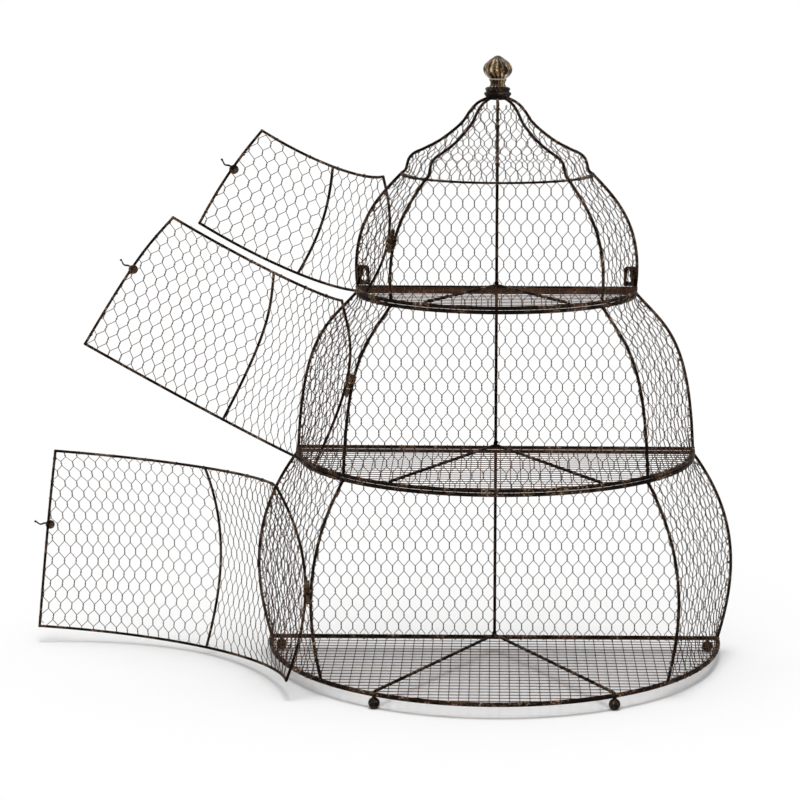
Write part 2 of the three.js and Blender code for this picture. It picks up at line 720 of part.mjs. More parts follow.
// Glass finial: a foot flange, a waist and a bulb drawn to a point, with lobes round it
const glassBase = collarBase + collarHeight + seatGap;
const glassShares = [
  [0, 0], [0.56, 0], [0.54, 0.07], [0.62, 0.2], [0.66, 0.28], [0.93, 0.42], [1, 0.56],
  [0.93, 0.7], [0.72, 0.82], [0.36, 0.92], [0, 1],
];
const glass = new THREE.LatheGeometry(glassShares.map(([reach, rise]) =>
  new THREE.Vector2(glassRadius * reach, glassHeight * rise)), facetsPerLobe * glassLobes);
const glassPosition = glass.attributes.position;
for (let i = 0; i < glassPosition.count; i++) {
  const x = glassPosition.getX(i);
  const z = glassPosition.getZ(i);
  const rise = glassPosition.getY(i) / glassHeight;
  const radius = Math.hypot(x, z);
  const swell = Math.sin(Math.PI * Math.min(Math.max((rise - lobeStartShare) / (1 - lobeStartShare), 0), 1));
  const factor = radius > 0 ? 1 + (lobeDepth * swell * Math.cos(glassLobes * Math.atan2(x, z))) / radius : 1;
  glassPosition.setX(i, x * factor);
  glassPosition.setZ(i, z * factor);
}
addMesh(cage, 'glass_finial', onAxis(glass).translate(0, 0, glassBase), amber, 0.15, 0.1);

// Feet: a ball on a short neck under the hoop and under the back bar
const frontFoot = rad(spokeAngle);
for (const [name, x, y] of [
  ['foot_front_right', ...onPlan(frontFoot, floorRadius, 0).toArray()],
  ['foot_front_left', ...onPlan(Math.PI - frontFoot, floorRadius, 0).toArray()],
  ['foot_back_right', floorRadius - backFootInset, backY],
  ['foot_back_left', backFootInset - floorRadius, backY],
]) {
  const neckTop = -floorRod - seatGap;
  const neckAngle = Math.asin(footNeck / footBall);
  const flatAngle = Math.PI - Math.asin(footFlat / footBall);
  const outline = [
    new THREE.Vector2(0, neckTop), new THREE.Vector2(footNeck, neckTop),
    ...Array.from({ length: ballSteps + 1 }, (_, i) => {
      const angle = neckAngle + ((flatAngle - neckAngle) * i) / ballSteps;
      return new THREE.Vector2(footBall * Math.sin(angle), -footDrop + footBall * Math.cos(angle));
    }),
    new THREE.Vector2(0, -footDrop + footBall * Math.cos(flatAngle)),
  ].reverse();
  const foot = new THREE.LatheGeometry(outline, barSides).rotateX(Math.PI / 2);
  addMesh(cage, name, foot.translate(x, y, 0));
}

// Hanger plates: a keyhole plate in each back corner of the upper tier, flush with the wall
const plateSide = upperBandRadius - corner(ribRod, rodSides) - seatGap;
const plateBase = upperBase + bandRod + seatGap;
for (const [name, hand] of [['hanger_right', 1], ['hanger_left', -1]]) {
  const shape = new THREE.Shape();
  shape.moveTo(0, 0);
  shape.lineTo(plateWidth, 0);
  shape.lineTo(plateWidth, plateHeight);
  shape.lineTo(plateCorner, plateHeight);
  shape.absarc(plateCorner, plateHeight - plateCorner, plateCorner, Math.PI / 2, Math.PI, false);
  shape.lineTo(0, 0);
  const keyhole = new THREE.Path();
  const half = keyslotWidth / 2;
  const meet = Math.asin(half / keyholeRadius);
  keyhole.absarc(plateWidth / 2, keyholeRise, keyholeRadius, Math.PI / 2 + meet, Math.PI / 2 - meet, false);
  keyhole.absarc(plateWidth / 2, keyslotTop - half, half, 0, Math.PI, false);
  shape.holes.push(keyhole);
  const plate = new THREE.ExtrudeGeometry(
    shape, { depth: plateThick, bevelEnabled: false, curveSegments: plateSteps });
  plate.translate(-plateWidth, 0, 0).rotateX(Math.PI / 2);
  plate.translate(plateSide, 0, plateBase);
  if (hand > 0) addMesh(cage, name, plate);
  else addMesh(cage, name, plate.rotateZ(Math.PI).translate(0, -plateThick, 0));
}

export default cage;
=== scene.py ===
# %% [markdown]
# # A wall bird cage, made in wire
# The cage is half round. Three tiers stand on each other under a dome, and each tier has bowed ribs, a
# floor of square welded mesh, hexagonal netting and one bowed door that stands wide open. Nearly all of it
# is wire of some thickness, so one tool does most of the work: a round section that is swept along a line.
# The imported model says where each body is; the rods and nets are drawn here in full.

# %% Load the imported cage
import json
import math

import bpy
import numpy as np
from mathutils import Matrix, Vector


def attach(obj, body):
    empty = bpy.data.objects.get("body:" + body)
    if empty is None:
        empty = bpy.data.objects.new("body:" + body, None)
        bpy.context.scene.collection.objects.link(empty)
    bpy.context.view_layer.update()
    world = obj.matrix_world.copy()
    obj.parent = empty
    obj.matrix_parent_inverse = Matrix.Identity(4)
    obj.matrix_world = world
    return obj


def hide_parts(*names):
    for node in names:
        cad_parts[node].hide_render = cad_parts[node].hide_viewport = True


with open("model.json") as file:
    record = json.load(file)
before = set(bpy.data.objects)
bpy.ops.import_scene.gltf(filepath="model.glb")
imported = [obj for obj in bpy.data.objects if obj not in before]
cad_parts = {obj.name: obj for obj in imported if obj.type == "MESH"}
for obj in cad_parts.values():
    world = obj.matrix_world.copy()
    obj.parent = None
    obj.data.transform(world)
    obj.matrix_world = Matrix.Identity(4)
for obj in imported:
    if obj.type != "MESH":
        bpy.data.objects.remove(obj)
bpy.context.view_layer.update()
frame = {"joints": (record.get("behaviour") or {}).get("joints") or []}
joints = {joint["name"]: joint for joint in frame["joints"]}

# %% [markdown]
# ## Sizes
# All sizes are in millimetres and become metres only when a mesh is made. A rod is named by its radius.
# Each level is the height of a hoop's middle, and each band radius says how wide that hoop is. The solids
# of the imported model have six-sided rods, so a net that clears their corners also clears the round rods.

# %% Rods and levels
FLOOR_ROD, BAND_ROD, RING_ROD = 3.0, 2.5, 1.5
RIB_ROD, DOME_ROD, SPOKE_ROD, DOOR_ROD = 2.0, 1.9, 2.0, 1.8
CORNER = 1.155
SEAT_GAP, NET_GAP = 0.3, 0.9
NET_DEPTH = RIB_ROD * CORNER + NET_GAP
BACK_Y = -FLOOR_ROD
FRONT_RIB, MIRROR_RIB = math.radians(43), math.radians(137)
SPOKE, MIRROR_SPOKE = math.radians(60), math.radians(120)
FLOOR_RADIUS, LOWER_BAND, UPPER_BAND, RING = 301.0, 262.8, 183.0, 125.0
LOWER_TOP, MIDDLE_BASE, MIDDLE_TOP = 256.4, 261.7, 471.5
UPPER_BASE, UPPER_TOP, DOME_TOP = 476.8, 627.2, 723.2
print("floor to dome:", DOME_TOP, "mm, widest hoop:", 2 * FLOOR_RADIUS, "mm")

# %% [markdown]
# A profile says how far a rib stands from the cage's middle line at each height. It could be solved as a
# formula each time, but a dense table is simpler: a radius, a height or a length along the rib can be
# looked up either way. A tier's rib is one cubic curve, steered by two handles.


# %% Profiles of the ribs
class Profile:
    """Radius against height, with the length run from the foot."""

    def __init__(self, points):
        self.radius, self.z = np.asarray(points, float).T
        self.run = np.concatenate([[0], np.cumsum(np.hypot(np.diff(self.radius), np.diff(self.z)))])
        slope = np.gradient(self.radius, self.run), np.gradient(self.z, self.run)
        size = np.hypot(*slope)
        self.lean, self.rise = slope[0] / size, slope[1] / size

    def at_run(self, run):
        return [np.interp(run, self.run, table) for table in (self.radius, self.z, self.lean, self.rise)]

    def at(self, z):
        return np.interp(z, self.z, self.radius)

    def run_at(self, z):
        return np.interp(z, self.z, self.run)

    def line(self, low, high, count):
        """Radius and height at even steps between two heights."""
        return self.at_run(np.linspace(self.run_at(low), self.run_at(high), count))[:2]


def bow(foot, head, base, top, handle_shares, grow=0.0):
    """A tier's rib: one cubic curve with its two handles given as shares of the foot and the height."""
    t = np.linspace(0, 1, 600)[:, None]
    height = top - base
    low_out, low_up, high_out, high_up = handle_shares
    corners = np.array([[foot, base], [foot * low_out, base + height * low_up],
                        [foot * high_out, base + height * high_up], [head, top]]) + [grow, 0]
    weights = np.hstack([(1 - t) ** 3, 3 * t * (1 - t) ** 2, 3 * t * t * (1 - t), t ** 3])
    return Profile(weights @ corners)


plain_rib = bow(100, 100, 0, 90, (1, 0.3, 1, 0.7))
print("a rib without a bow, 90 mm tall, runs", round(float(plain_rib.run[-1]), 1), "mm")

# %% [markdown]
# The tiers are built alike and differ only in the numbers below. The hinge and the latch sit at a share of
# the door's height. The back net has its own pitch in each tier, is stretched a little from left to right
# and starts at its own height, because each sheet was cut and hung by hand. A door's rib stands a little
# outside the tier's own, so that the shut door lies on the jambs.

# %% The three tiers
DOOR_OUT = 2.6
TIERS = [
    dict(name="lower", base=0.0, top=LOWER_TOP, base_rod=FLOOR_ROD, top_rod=BAND_ROD,
         foot=FLOOR_RADIUS, head=LOWER_BAND, handle_shares=(1.08, 0.33, 1.095, 0.654), hinge_share=0.468,
         latch_share=0.567, net_pitch=15.4, net_shift=(4.8, 0.3), net_lift=5.3, door_pitch=15.9),
    dict(name="middle", base=MIDDLE_BASE, top=MIDDLE_TOP, base_rod=BAND_ROD, top_rod=BAND_ROD,
         foot=LOWER_BAND, head=UPPER_BAND, handle_shares=(0.972, 0.736, 0.849, 0.784), hinge_share=0.545,
         latch_share=0.587, net_pitch=15.22, net_shift=(0.2, 0.5), net_lift=-7.4, door_pitch=15.6),
    dict(name="upper", base=UPPER_BASE, top=UPPER_TOP, base_rod=BAND_ROD, top_rod=RING_ROD,
         foot=UPPER_BAND, head=RING, handle_shares=(1.053, 0.545, 0.86, 0.778), hinge_share=0.5,
         latch_share=0.6, net_pitch=15.46, net_shift=(-2.0, -3.3), net_lift=4.9, door_pitch=16.8),
]
for tier in TIERS:
    shape = tier["foot"], tier["head"], tier["base"], tier["top"], tier["handle_shares"]
    tier["rib"] = bow(*shape)
    tier["door"] = bow(*shape, grow=DOOR_OUT)
    print(tier["name"], "rib runs", round(float(tier["rib"].run[-1]), 1), "mm")

# %% [markdown]
# The dome's ribs bend in, out and in again, like a bell. They pass smoothly through a row of points, so
# they are a Catmull-Rom curve: each stretch is steered by the points on both sides of it. The points are
# shares of the ring's radius and of the dome's height. At the head the ribs rise into the collar's lip.

# %% The dome's rib
RISE_SHARES = [0, 0.049, 0.13, 0.207, 0.278, 0.334, 0.446, 0.589, 0.711, 0.844, 0.942]
REACH_SHARES = [1, 0.958, 0.939, 0.919, 0.864, 0.77, 0.605, 0.456, 0.357, 0.287, 0.204]
HEAD_RADIUS, HEAD_LIFT, LIFT_FROM_SHARE = 12.4, 2.6, 0.84
bell = np.array([[RING * reach, rise] for reach, rise in zip(REACH_SHARES, RISE_SHARES)]
                + [[HEAD_RADIUS, 1]])
bell[:, 1] = (UPPER_TOP + (DOME_TOP - UPPER_TOP) * bell[:, 1]
              + np.interp(bell[:, 1], [LIFT_FROM_SHARE, 1], [0, HEAD_LIFT]))


def through(points, steps=40):
    """A smooth line through all the points."""
    padded = np.vstack([points[:1], points, points[-1:]])
    t = np.linspace(0, 1, steps, endpoint=False)[:, None]
    out = []
    for a, b, c, d in zip(padded, padded[1:], padded[2:], padded[3:]):
        start, end = (c - a) / 2, (d - b) / 2
        out.append((2 * b - 2 * c + start + end) * t ** 3 + (3 * c - 3 * b - 2 * start - end) * t ** 2
                   + start * t + b)
    return np.vstack(out + [points[-1:]])


dome_rib = Profile(through(bell))
print("dome rib runs", round(float(dome_rib.run[-1]), 1), "mm")

# %% [markdown]
# ## Tools for wire
# Directions in plan are given by azimuth: 0 is to the right, 90 degrees is the front. A swept tube needs a
# line and, at each point, a direction that is never along the line; the round section is set up from these
# two. Blender's curves could do it with a bevel, but a cage has thousands of wires, and one mesh for all
# the tubes of a piece is much faster.


# %% Directions in plan
def on_plan(azimuth, radius, z):
    azimuth, radius, z = np.broadcast_arrays(np.asarray(azimuth, float), radius, z)
    return np.stack([radius * np.cos(azimuth), BACK_Y - radius * np.sin(azimuth), z], -1)


def outward(azimuth):
    return np.array([math.cos(azimuth), -math.sin(azimuth), 0.0])


def sideways(azimuth):
    return np.array([-math.sin(azimuth), -math.cos(azimuth), 0.0])


def unit(vectors):
    vectors = np.asarray(vectors, float)
    return vectors / np.linalg.norm(vectors, axis=-1, keepdims=True)


print("the left front rib stands towards", outward(MIRROR_RIB).round(2))

# %% [markdown]
# A sawn rod has a sharp end that looks like paper from near by. So each closed tube gets a short bevel at
# both ends, which catches the light.

# %% Swept tubes
BEVEL_SHARE, END_SHARE = 0.35, 0.7


def skin(rings, around):
    """Four-sided faces between rings of corners that follow each other."""
    step, turn = np.meshgrid(np.arange(rings - 1), np.arange(around), indexing="ij")
    near, far, after = step * around, (step + 1) * around, (turn + 1) % around
    return np.stack([near + turn, near + after, far + after, far + turn], -1).reshape(-1, 4)


def tube(line, guide, radius, sides=12, closed_ends=True):
    """Corners and faces of a round section swept along a line. guide is never along the line."""
    line = np.asarray(line, float)
    radius = np.broadcast_to(np.asarray(radius, float), len(line))
    if closed_ends:
        first, last = unit(line[1] - line[0]), unit(line[-1] - line[-2])
        bevel = BEVEL_SHARE * radius[0], BEVEL_SHARE * radius[-1]
        line = np.vstack([line[:1], line[:1] + first * bevel[0], line[1:-1],
                          line[-1:] - last * bevel[1], line[-1:]])
        radius = np.concatenate([[END_SHARE * radius[0]], radius[:1], radius[1:-1], radius[-1:],
                                 [END_SHARE * radius[-1]]])
    along = unit(np.gradient(line, axis=0))
    across = unit(np.cross(along, np.broadcast_to(guide, line.shape)))
    over = np.cross(across, along)
    angle = np.arange(sides) * 2 * np.pi / sides
    ring = np.cos(angle)[None, :, None] * over[:, None] + np.sin(angle)[None, :, None] * across[:, None]
    corners = (line[:, None] + radius[:, None, None] * ring).reshape(-1, 3)
    caps = []
    if closed_ends:
        caps = [list(range(sides)), list(range(len(corners) - 1, len(corners) - 1 - sides, -1))]
    return corners, skin(len(line), sides)[:, ::-1], caps


print("a straight rod has", len(tube([(0, 0, 0), (0, 0, 9)], (1, 0, 0), RIB_ROD)[0]), "corners")

# %% [markdown]
# Some pieces are turned, such as the feet, the collar and the glass: an outline is spun round an axis. The
# same tool makes discs, barrels and the small weld beads, if it is told where the axis starts and points.


# %% Turned pieces
def basis(axis, hint=(0.0, 0.0, 1.0)):
    """Three square directions with the last along axis."""
    axis = unit(axis)
    hint = np.asarray(hint, float)
    if abs(hint @ axis) > 0.99:
        hint = np.array([1.0, 0.0, 0.0])
    first = unit(hint - (hint @ axis) * axis)
    return first, np.cross(axis, first), axis


def turned(outline, at=(0, 0, 0), axis=(0, 0, 1), segments=32, swell=None):
    """An outline of (radius, height) pairs, spun round an axis that starts at a point."""
    outline = np.asarray(outline, float)
    first, second, third = basis(axis, (1, 0, 0))
    angle = np.arange(segments) * 2 * np.pi / segments
    radius, height = outline[:, :1] + np.zeros(segments), outline[:, 1:] + np.zeros(segments)
    if swell is not None:
        radius = radius + swell(outline[:, :1], outline[:, 1:], angle[None])
    corners = (np.asarray(at, float) + (radius * np.cos(angle))[..., None] * first
               + (radius * np.sin(angle))[..., None] * second + height[..., None] * third).reshape(-1, 3)
    caps = [list(range(segments))[::-1], list(range(len(corners) - segments, len(corners)))]
    return corners, skin(len(outline), segments), caps


# %% [markdown]
# A bead of weld is a small squashed ball. A perfect one looks like a pearl, so a slow wave round it makes
# it uneven. Its two poles are cut off flat.


# %% Weld beads
def bead(at, size, axis=(0, 0, 1), segments=12):
    """A squashed ball of a half width and a half height, a little uneven."""
    wide, tall = size
    lift = np.linspace(-0.98, 0.98, 8)
    outline = np.stack([wide * np.sqrt(1 - lift ** 2), tall * lift], -1)

    def uneven(radius, height, angle):
        return 0.1 * wide * np.sin(3 * angle + 2 * height) * (radius / wide)

    return turned(outline, at, axis, segments, uneven)


print("a bead has", len(bead((0, 0, 0), (2.0, 2.0))[0]), "corners")

# %% [markdown]
# Each piece becomes one mesh object. It gets its finish, rides on the body that carries it and names the
# node that it stands for. A door's pieces are drawn with the door shut, where its shape is easy to
# describe, and a matrix then swings them open.

# %% From arrays to a piece
pieces = {}


def settle(name, mesh, finish, body, nodes):
    """Puts a mesh into the scene with its finish and says what it rides on and stands for."""
    mesh.materials.append(finish)
    thing = bpy.data.objects.new(name, mesh)
    bpy.context.scene.collection.objects.link(thing)
    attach(thing, body)
    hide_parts(*nodes)
    pieces[name] = thing
    return thing


def piece(name, parts, finish, body="cage", nodes=(), swing=None, crease=40):
    """Joins swept and turned parts into one object; edges sharper than crease degrees stay sharp."""
    corners, faces, start = [], [], 0
    for some_corners, quads, caps in parts:
        faces += (quads + start).tolist() + [[i + start for i in cap] for cap in caps]
        corners.append(some_corners)
        start += len(some_corners)
    mesh = bpy.data.meshes.new(name)
    mesh.from_pydata((np.vstack(corners) / 1000).tolist(), [], faces)
    if swing is not None:
        mesh.transform(swing)
    mesh.shade_smooth()
    if crease:
        mesh.set_sharp_from_angle(angle=math.radians(crease))
    return settle(name, mesh, finish, body, nodes)


# %% [markdown]
# ## Finishes
# A node tree is easier to read as sums. The small class below wraps one output socket and turns plus,
# minus and times signs into Math nodes, also with a plain number on the left.


# %% Shader maths as sums
class Value:
    """One number that the nodes of a tree work out."""

    def __init__(self, tree, socket):
        self.tree, self.socket = tree, socket

    def _math(self, operation, first, second):
        return self.tree.node("Math", {"operation": operation}, {0: first, 1: second})

    def __add__(self, other):
        return self._math("ADD", self, other)

    def __sub__(self, other):
        return self._math("SUBTRACT", self, other)

    def __rsub__(self, other):
        return self._math("SUBTRACT", other, self)

    def __mul__(self, other):
        return self._math("MULTIPLY", self, other)

    __radd__, __rmul__ = __add__, __mul__


# %% [markdown]
# One method makes any other node: it sets the node's settings, feeds its sockets with numbers or links,
# and hands back one of its outputs as a value. The surround at the end needs it as well as the finishes,
# so it belongs to the tree.


# %% A node tree
class Tree:
    """A node tree that makes and links its nodes."""

    def __init__(self, tree):
        self.tree = tree

    def node(self, kind, settings=None, sockets=None, output=0):
        made = self.tree.nodes.new("ShaderNode" + kind)
        for key, setting in (settings or {}).items():
            setattr(made, key, setting)
        for key, value in (sockets or {}).items():
            self.feed(made.inputs[key], value)
        return Value(self, made.outputs[output])

    def feed(self, socket, value):
        if isinstance(value, Value):
            self.tree.links.new(value.socket, socket)
        else:
            socket.default_value = value


# %% [markdown]
# A finish is a material with its tree. Numbers that are the same all over the surface are set on the main
# shader when the finish is made, and what changes over the surface is fed in afterwards, by wear. The
# sockets that have no name of their own are known by their number.

# %% A finish
OBJECT_PLACE, COLOUR = 3, 2


class Finish(Tree):
    """A material, its tree and its main shader."""

    def __init__(self, name, **fixed):
        self.material = bpy.data.materials.new(name)
        self.material.use_nodes = True
        super().__init__(self.material.node_tree)
        self.shader = self.tree.nodes["Principled BSDF"]
        for socket, amount in fixed.items():
            self.shader.inputs[socket.replace("_", " ")].default_value = amount

    def noise(self, where, scale, detail=3.0, roughness=0.5):
        return self.node("TexNoise", sockets={"Vector": where, "Scale": scale, "Detail": detail,
                                              "Roughness": roughness})

    def between(self, value, low, high):
        """0 below low, 1 above high, smooth between."""
        return self.node("MapRange", {"interpolation_type": "SMOOTHSTEP"},
                         {"Value": value, "From Min": low, "From Max": high})

    def blend(self, share, first, second):
        """A colour between two colours."""
        first, second = [(*c, 1) if isinstance(c, tuple) else c for c in (first, second)]
        return self.node("Mix", {"data_type": "RGBA"}, {0: share, 6: first, 7: second}, output=COLOUR)

    def bump(self, height, strength, distance):
        return self.node("Bump", sockets={"Strength": strength, "Distance": distance, "Height": height})

    def wear(self, **fed):
        for socket, value in fed.items():
            self.feed(self.shader.inputs[socket.replace("_", " ")], value)
        return self.material


# %% [markdown]
# The rods are iron in a brown-black stain that was rubbed by hand, so lighter brown comes through in
# patches a few centimetres long, with bright scratches inside them. The patches come from a slow noise and
# the scratches from a fast one. Rubbed metal is also smoother, so the same mask lowers the roughness. The
# mirror part of the shader is kept very low: in a white room it would turn thin dark rods grey.


# %% Rubbed iron
def rubbed_iron(name, dark, brown, bright, patch=34.0, grain=310.0, cover=0.5, gloss=0.05):
    """cover says how much of the dark stain is left; patch and grain are the scales of the two noises."""
    finish = Finish(name, Metallic=0.3, Specular_IOR_Level=gloss)
    where = finish.node("TexCoord", output=OBJECT_PLACE)
    slow, fast = finish.noise(where, patch, 4.0, 0.6), finish.noise(where, grain, 4.0, 0.65)
    rubbed = finish.between(0.6 * slow + 0.4 * fast, cover, cover + 0.12)
    bare = finish.between(fast, 0.53, 0.66) * finish.between(slow, 0.46, 0.6)
    colour = finish.blend(bare, finish.blend(rubbed, dark, brown), bright)
    return finish.wear(Base_Color=colour, Roughness=(0.65 - 1.2 * gloss) + 0.2 * fast - 0.16 * rubbed,
                       Normal=finish.bump(fast + 0.5 * slow, 0.35, 0.0004))


# %% [markdown]
# The same recipe gives four finishes. The plain one is for nearly all rods. The spines stand at the back,
# behind the nets, and get a darker copy with painted shade in its colours. The hinges and latches are worn
# lighter by hands, and on the latch disc the lighter colour is also painted sheen on its flat face. The
# castings hold more stain and shine a little.

# %% The four irons
iron = rubbed_iron("rubbed_iron", dark=(0.007, 0.0034, 0.0018), brown=(0.052, 0.028, 0.0165),
                   bright=(0.42, 0.29, 0.195), cover=0.47)
# A darker copy of the iron, with painted shade in its colours, for the spines at the back.
painted_shade = rubbed_iron("painted_shade_iron", dark=(0.005, 0.0025, 0.0014), brown=(0.024, 0.012, 0.007),
                     bright=(0.2, 0.13, 0.08), gloss=0.02)
# Hand wear on hinges and latches; on the latch disc the lighter colour is also painted sheen.
wear_and_sheen = rubbed_iron("wear_and_sheen_iron", dark=(0.02, 0.013, 0.009), brown=(0.085, 0.056, 0.036),
                   bright=(0.3, 0.21, 0.14), patch=90.0, grain=420.0, cover=0.4)
cast = rubbed_iron("cast_trim", dark=(0.004, 0.002, 0.0012), brown=(0.028, 0.015, 0.009),
                   bright=(0.26, 0.17, 0.115), patch=75.0, grain=420.0, cover=0.47, gloss=0.12)
print("irons:", iron.name, painted_shade.name, wear_and_sheen.name, cast.name)

# %% [markdown]
# The netting is thin wire under the same stain. It has no patches wide enough to see, only a slow drift
# between a lighter and a darker brown, and a little roughness where the stain is thick.


# %% Stained wire
def stained_wire(name, light, dark):
    finish = Finish(name, Metallic=0.4, Specular_IOR_Level=0.15)
    where = finish.node("TexCoord", output=OBJECT_PLACE)
    slow, fast = finish.noise(where, 22.0, 3.0), finish.noise(where, 500.0, 2.0)
    colour = finish.blend(finish.between(slow + 0.3 * fast, 0.5, 0.8), light, dark)
    return finish.wear(Base_Color=colour, Roughness=0.4 + 0.3 * fast,
                       Normal=finish.bump(fast, 0.2, 0.0002))


net_wire = stained_wire("net_wire", light=(0.1, 0.057, 0.036), dark=(0.048, 0.022, 0.012))
mesh_wire = stained_wire("mesh_wire", light=(0.085, 0.036, 0.015), dark=(0.038, 0.014, 0.005))
print("wires:", net_wire.name, mesh_wire.name)

# %% [markdown]
# The finial is pressed amber glass with a smoky stain in its grooves. Clear glass in a white studio would
# look almost white, so the colour itself carries the streaks, and the shader lets only a little light
# through. Stripes round the axis, bent by a noise, give dark seams, which are stain and painted dark
# refraction, honey-coloured mid tones and cream painted highlights on the ridges. A pale band of painted
# highlight lies on the ring between foot and bulb. Here sizes are in metres.

# %% Amber glass
STRIPES, RIM_LOW, RIM_HIGH, RIM_FADE = 16, 0.7492, 0.7508, 0.0006
glass = Finish("amber_glass", Transmission_Weight=0.06, IOR=1.5, Specular_IOR_Level=0.15)
where = glass.node("TexCoord", output=OBJECT_PLACE)
x, y, z = [glass.node("SeparateXYZ", sockets={"Vector": where}, output=i) for i in range(3)]
around = glass.node("Math", {"operation": "ARCTAN2"}, {0: y - BACK_Y / 1000, 1: x})
patch, speck = glass.noise(where, 95.0, 3.0, 0.55), glass.noise(where, 420.0, 2.0)
ridge = glass.node("Math", {"operation": "COSINE"}, {0: STRIPES * around + 9.0 * patch + 110.0 * z})
tone = 0.45 + 0.22 * ridge + 1.7 * (patch - 0.5) + 0.7 * (speck - 0.5)
# Dark seams: partly stain, partly painted dark refraction.
stain_and_dark_refraction = glass.blend(glass.between(tone, 0.32, 0.52), (0.006, 0.004, 0.002), (0.2, 0.115, 0.04))
# Cream painted highlights on the ridges of the stripes.
lights = glass.blend(glass.between(tone, 0.66, 0.86), stain_and_dark_refraction, (0.85, 0.68, 0.42))
# A pale band of painted highlight on the ring between foot and bulb.
rim_highlight = glass.between(z, RIM_LOW, RIM_LOW + RIM_FADE) * (1 - glass.between(z, RIM_HIGH, RIM_HIGH + RIM_FADE))
lit = glass.blend(0.8 * rim_highlight, lights, (0.62, 0.58, 0.5))
amber = glass.wear(Base_Color=lit, Roughness=0.08 + 0.12 * speck, Normal=glass.bump(tone, 0.4, 0.0010))
print("glass:", amber.name, "with", len(glass.tree.nodes), "nodes")

# %% [markdown]
# ## Floors, hoops and spokes
# Every floor is a D: a bent hoop and a straight back bar, with two spokes that run from the middle of the
# bar to the front. The hoop is bent from one rod, so it is an arc with its ends butted against the bar,
# and a bead of weld sits on each joint. The spokes lie on top of the square mesh.


# %% Hoops and bars
BAR_OVER_SHARE, CORNER_WIDE_SHARE, CORNER_TALL_SHARE = 0.9, 1.15, 1.05


def arc(radius, z, rod, start=0.0, end=math.pi, steps=97):
    azimuth = np.linspace(start, end, steps)
    return tube(on_plan(azimuth, radius, z), (0, 0, 1), rod)


def straight(a, b, rod, sides=12):
    a, b = np.asarray(a, float), np.asarray(b, float)
    line = a + (b - a) * np.linspace(0, 1, 4)[:, None]
    return tube(line, basis(b - a)[0], rod, sides)


def band(radius, z, rod):
    """A hoop with its back bar and the beads at its two corners."""
    ends = [(sign * radius, BACK_Y, z) for sign in (-1, 1)]
    reach = radius + rod * BAR_OVER_SHARE
    bar = straight((-reach, BACK_Y, z), (reach, BACK_Y, z), rod)
    size = rod * CORNER_WIDE_SHARE, rod * CORNER_TALL_SHARE
    return [arc(radius, z, rod), bar] + [bead(end, size, (0, 1, 0)) for end in ends]


# %% Floors, top hoops and the ring
MESH_HALF, TIP_SHORT, RING_START = 0.8, 1.5, 0.02
TIP_BEAD, TIP_BEAD_DROP, HUB_BEAD, HUB_BEAD_DROP = (2.6, 2.0), 0.8, (3.4, 2.3), 0.4
SPOKE_RISE = MESH_HALF + SEAT_GAP + SPOKE_ROD * CORNER
for tier in TIERS:
    z = tier["base"] + SPOKE_RISE
    parts = band(tier["foot"], tier["base"], tier["base_rod"])
    for azimuth in (SPOKE, MIRROR_SPOKE):
        tip = on_plan(azimuth, tier["foot"] - TIP_SHORT, z)
        parts += [straight((0, BACK_Y, z), tip, SPOKE_ROD), bead(tip - [0, 0, TIP_BEAD_DROP], TIP_BEAD)]
    parts.append(bead((0, BACK_Y - 1, z - HUB_BEAD_DROP), HUB_BEAD))
    piece(tier["name"] + "_floor_rods", parts, iron, nodes=[tier["name"] + "_floor_frame"])
for tier in TIERS[:2]:
    piece(tier["name"] + "_top_rods", band(tier["head"], tier["top"], tier["top_rod"]), iron,
          nodes=[tier["name"] + "_top_hoop"])
piece("ring_rod", [arc(RING, UPPER_TOP, RING_ROD, RING_START, math.pi - RING_START)], iron,
      nodes=["ring"])
print("bands:", ", ".join(pieces))

# %% [markdown]
# ## Ribs
# A rib bows in one upright plane. Its ends are welded into the hoops, so they run on to the middle of
# each hoop's rod, and a small bead closes each joint. The side ribs end in the corner beads of the bands,
# and the front ribs get beads of their own. The middle spine is straight, with a lump of weld where it
# passes the floor.

# %% Ribs and spines
RIBS = [("rib_right", 0.0), ("jamb_right", FRONT_RIB), ("jamb_left", MIRROR_RIB), ("rib_left", math.pi)]
FOOT_IN, HEAD_IN, BEAD_IN, BEAD_TALL, BEAD_WIDE_SHARE = 0.5, 0.3, 1.2, 2.4, 1.12
SPINE_FOOT, SPINE_HEAD, SPINE_TIP = 1.0, 0.5, 2.0
SPINE_BEAD, SPINE_BEAD_RISE, SPINE_BEAD_OUT = (3.0, 3.2), 6.5, 0.6


def rib(profile, azimuth, low, high, rod, steps=40, shift=(0, 0, 0), sides=12):
    radius, z = profile.line(low, high, steps)
    return tube(on_plan(azimuth, radius, z) + shift, sideways(azimuth), rod, sides)


def rib_beads(tier, azimuth):
    """The two beads where a rib meets the hoops below and above."""
    base, top = [on_plan(azimuth, tier["rib"].at(z), z) for z in (tier["base"], tier["top"])]
    wide = [min(rod, BAND_ROD) * BEAD_WIDE_SHARE for rod in (tier["base_rod"], tier["top_rod"])]
    return [bead(base + [0, 0, BEAD_IN], (wide[0], BEAD_TALL)),
            bead(top - [0, 0, BEAD_IN], (wide[1], BEAD_TALL))]


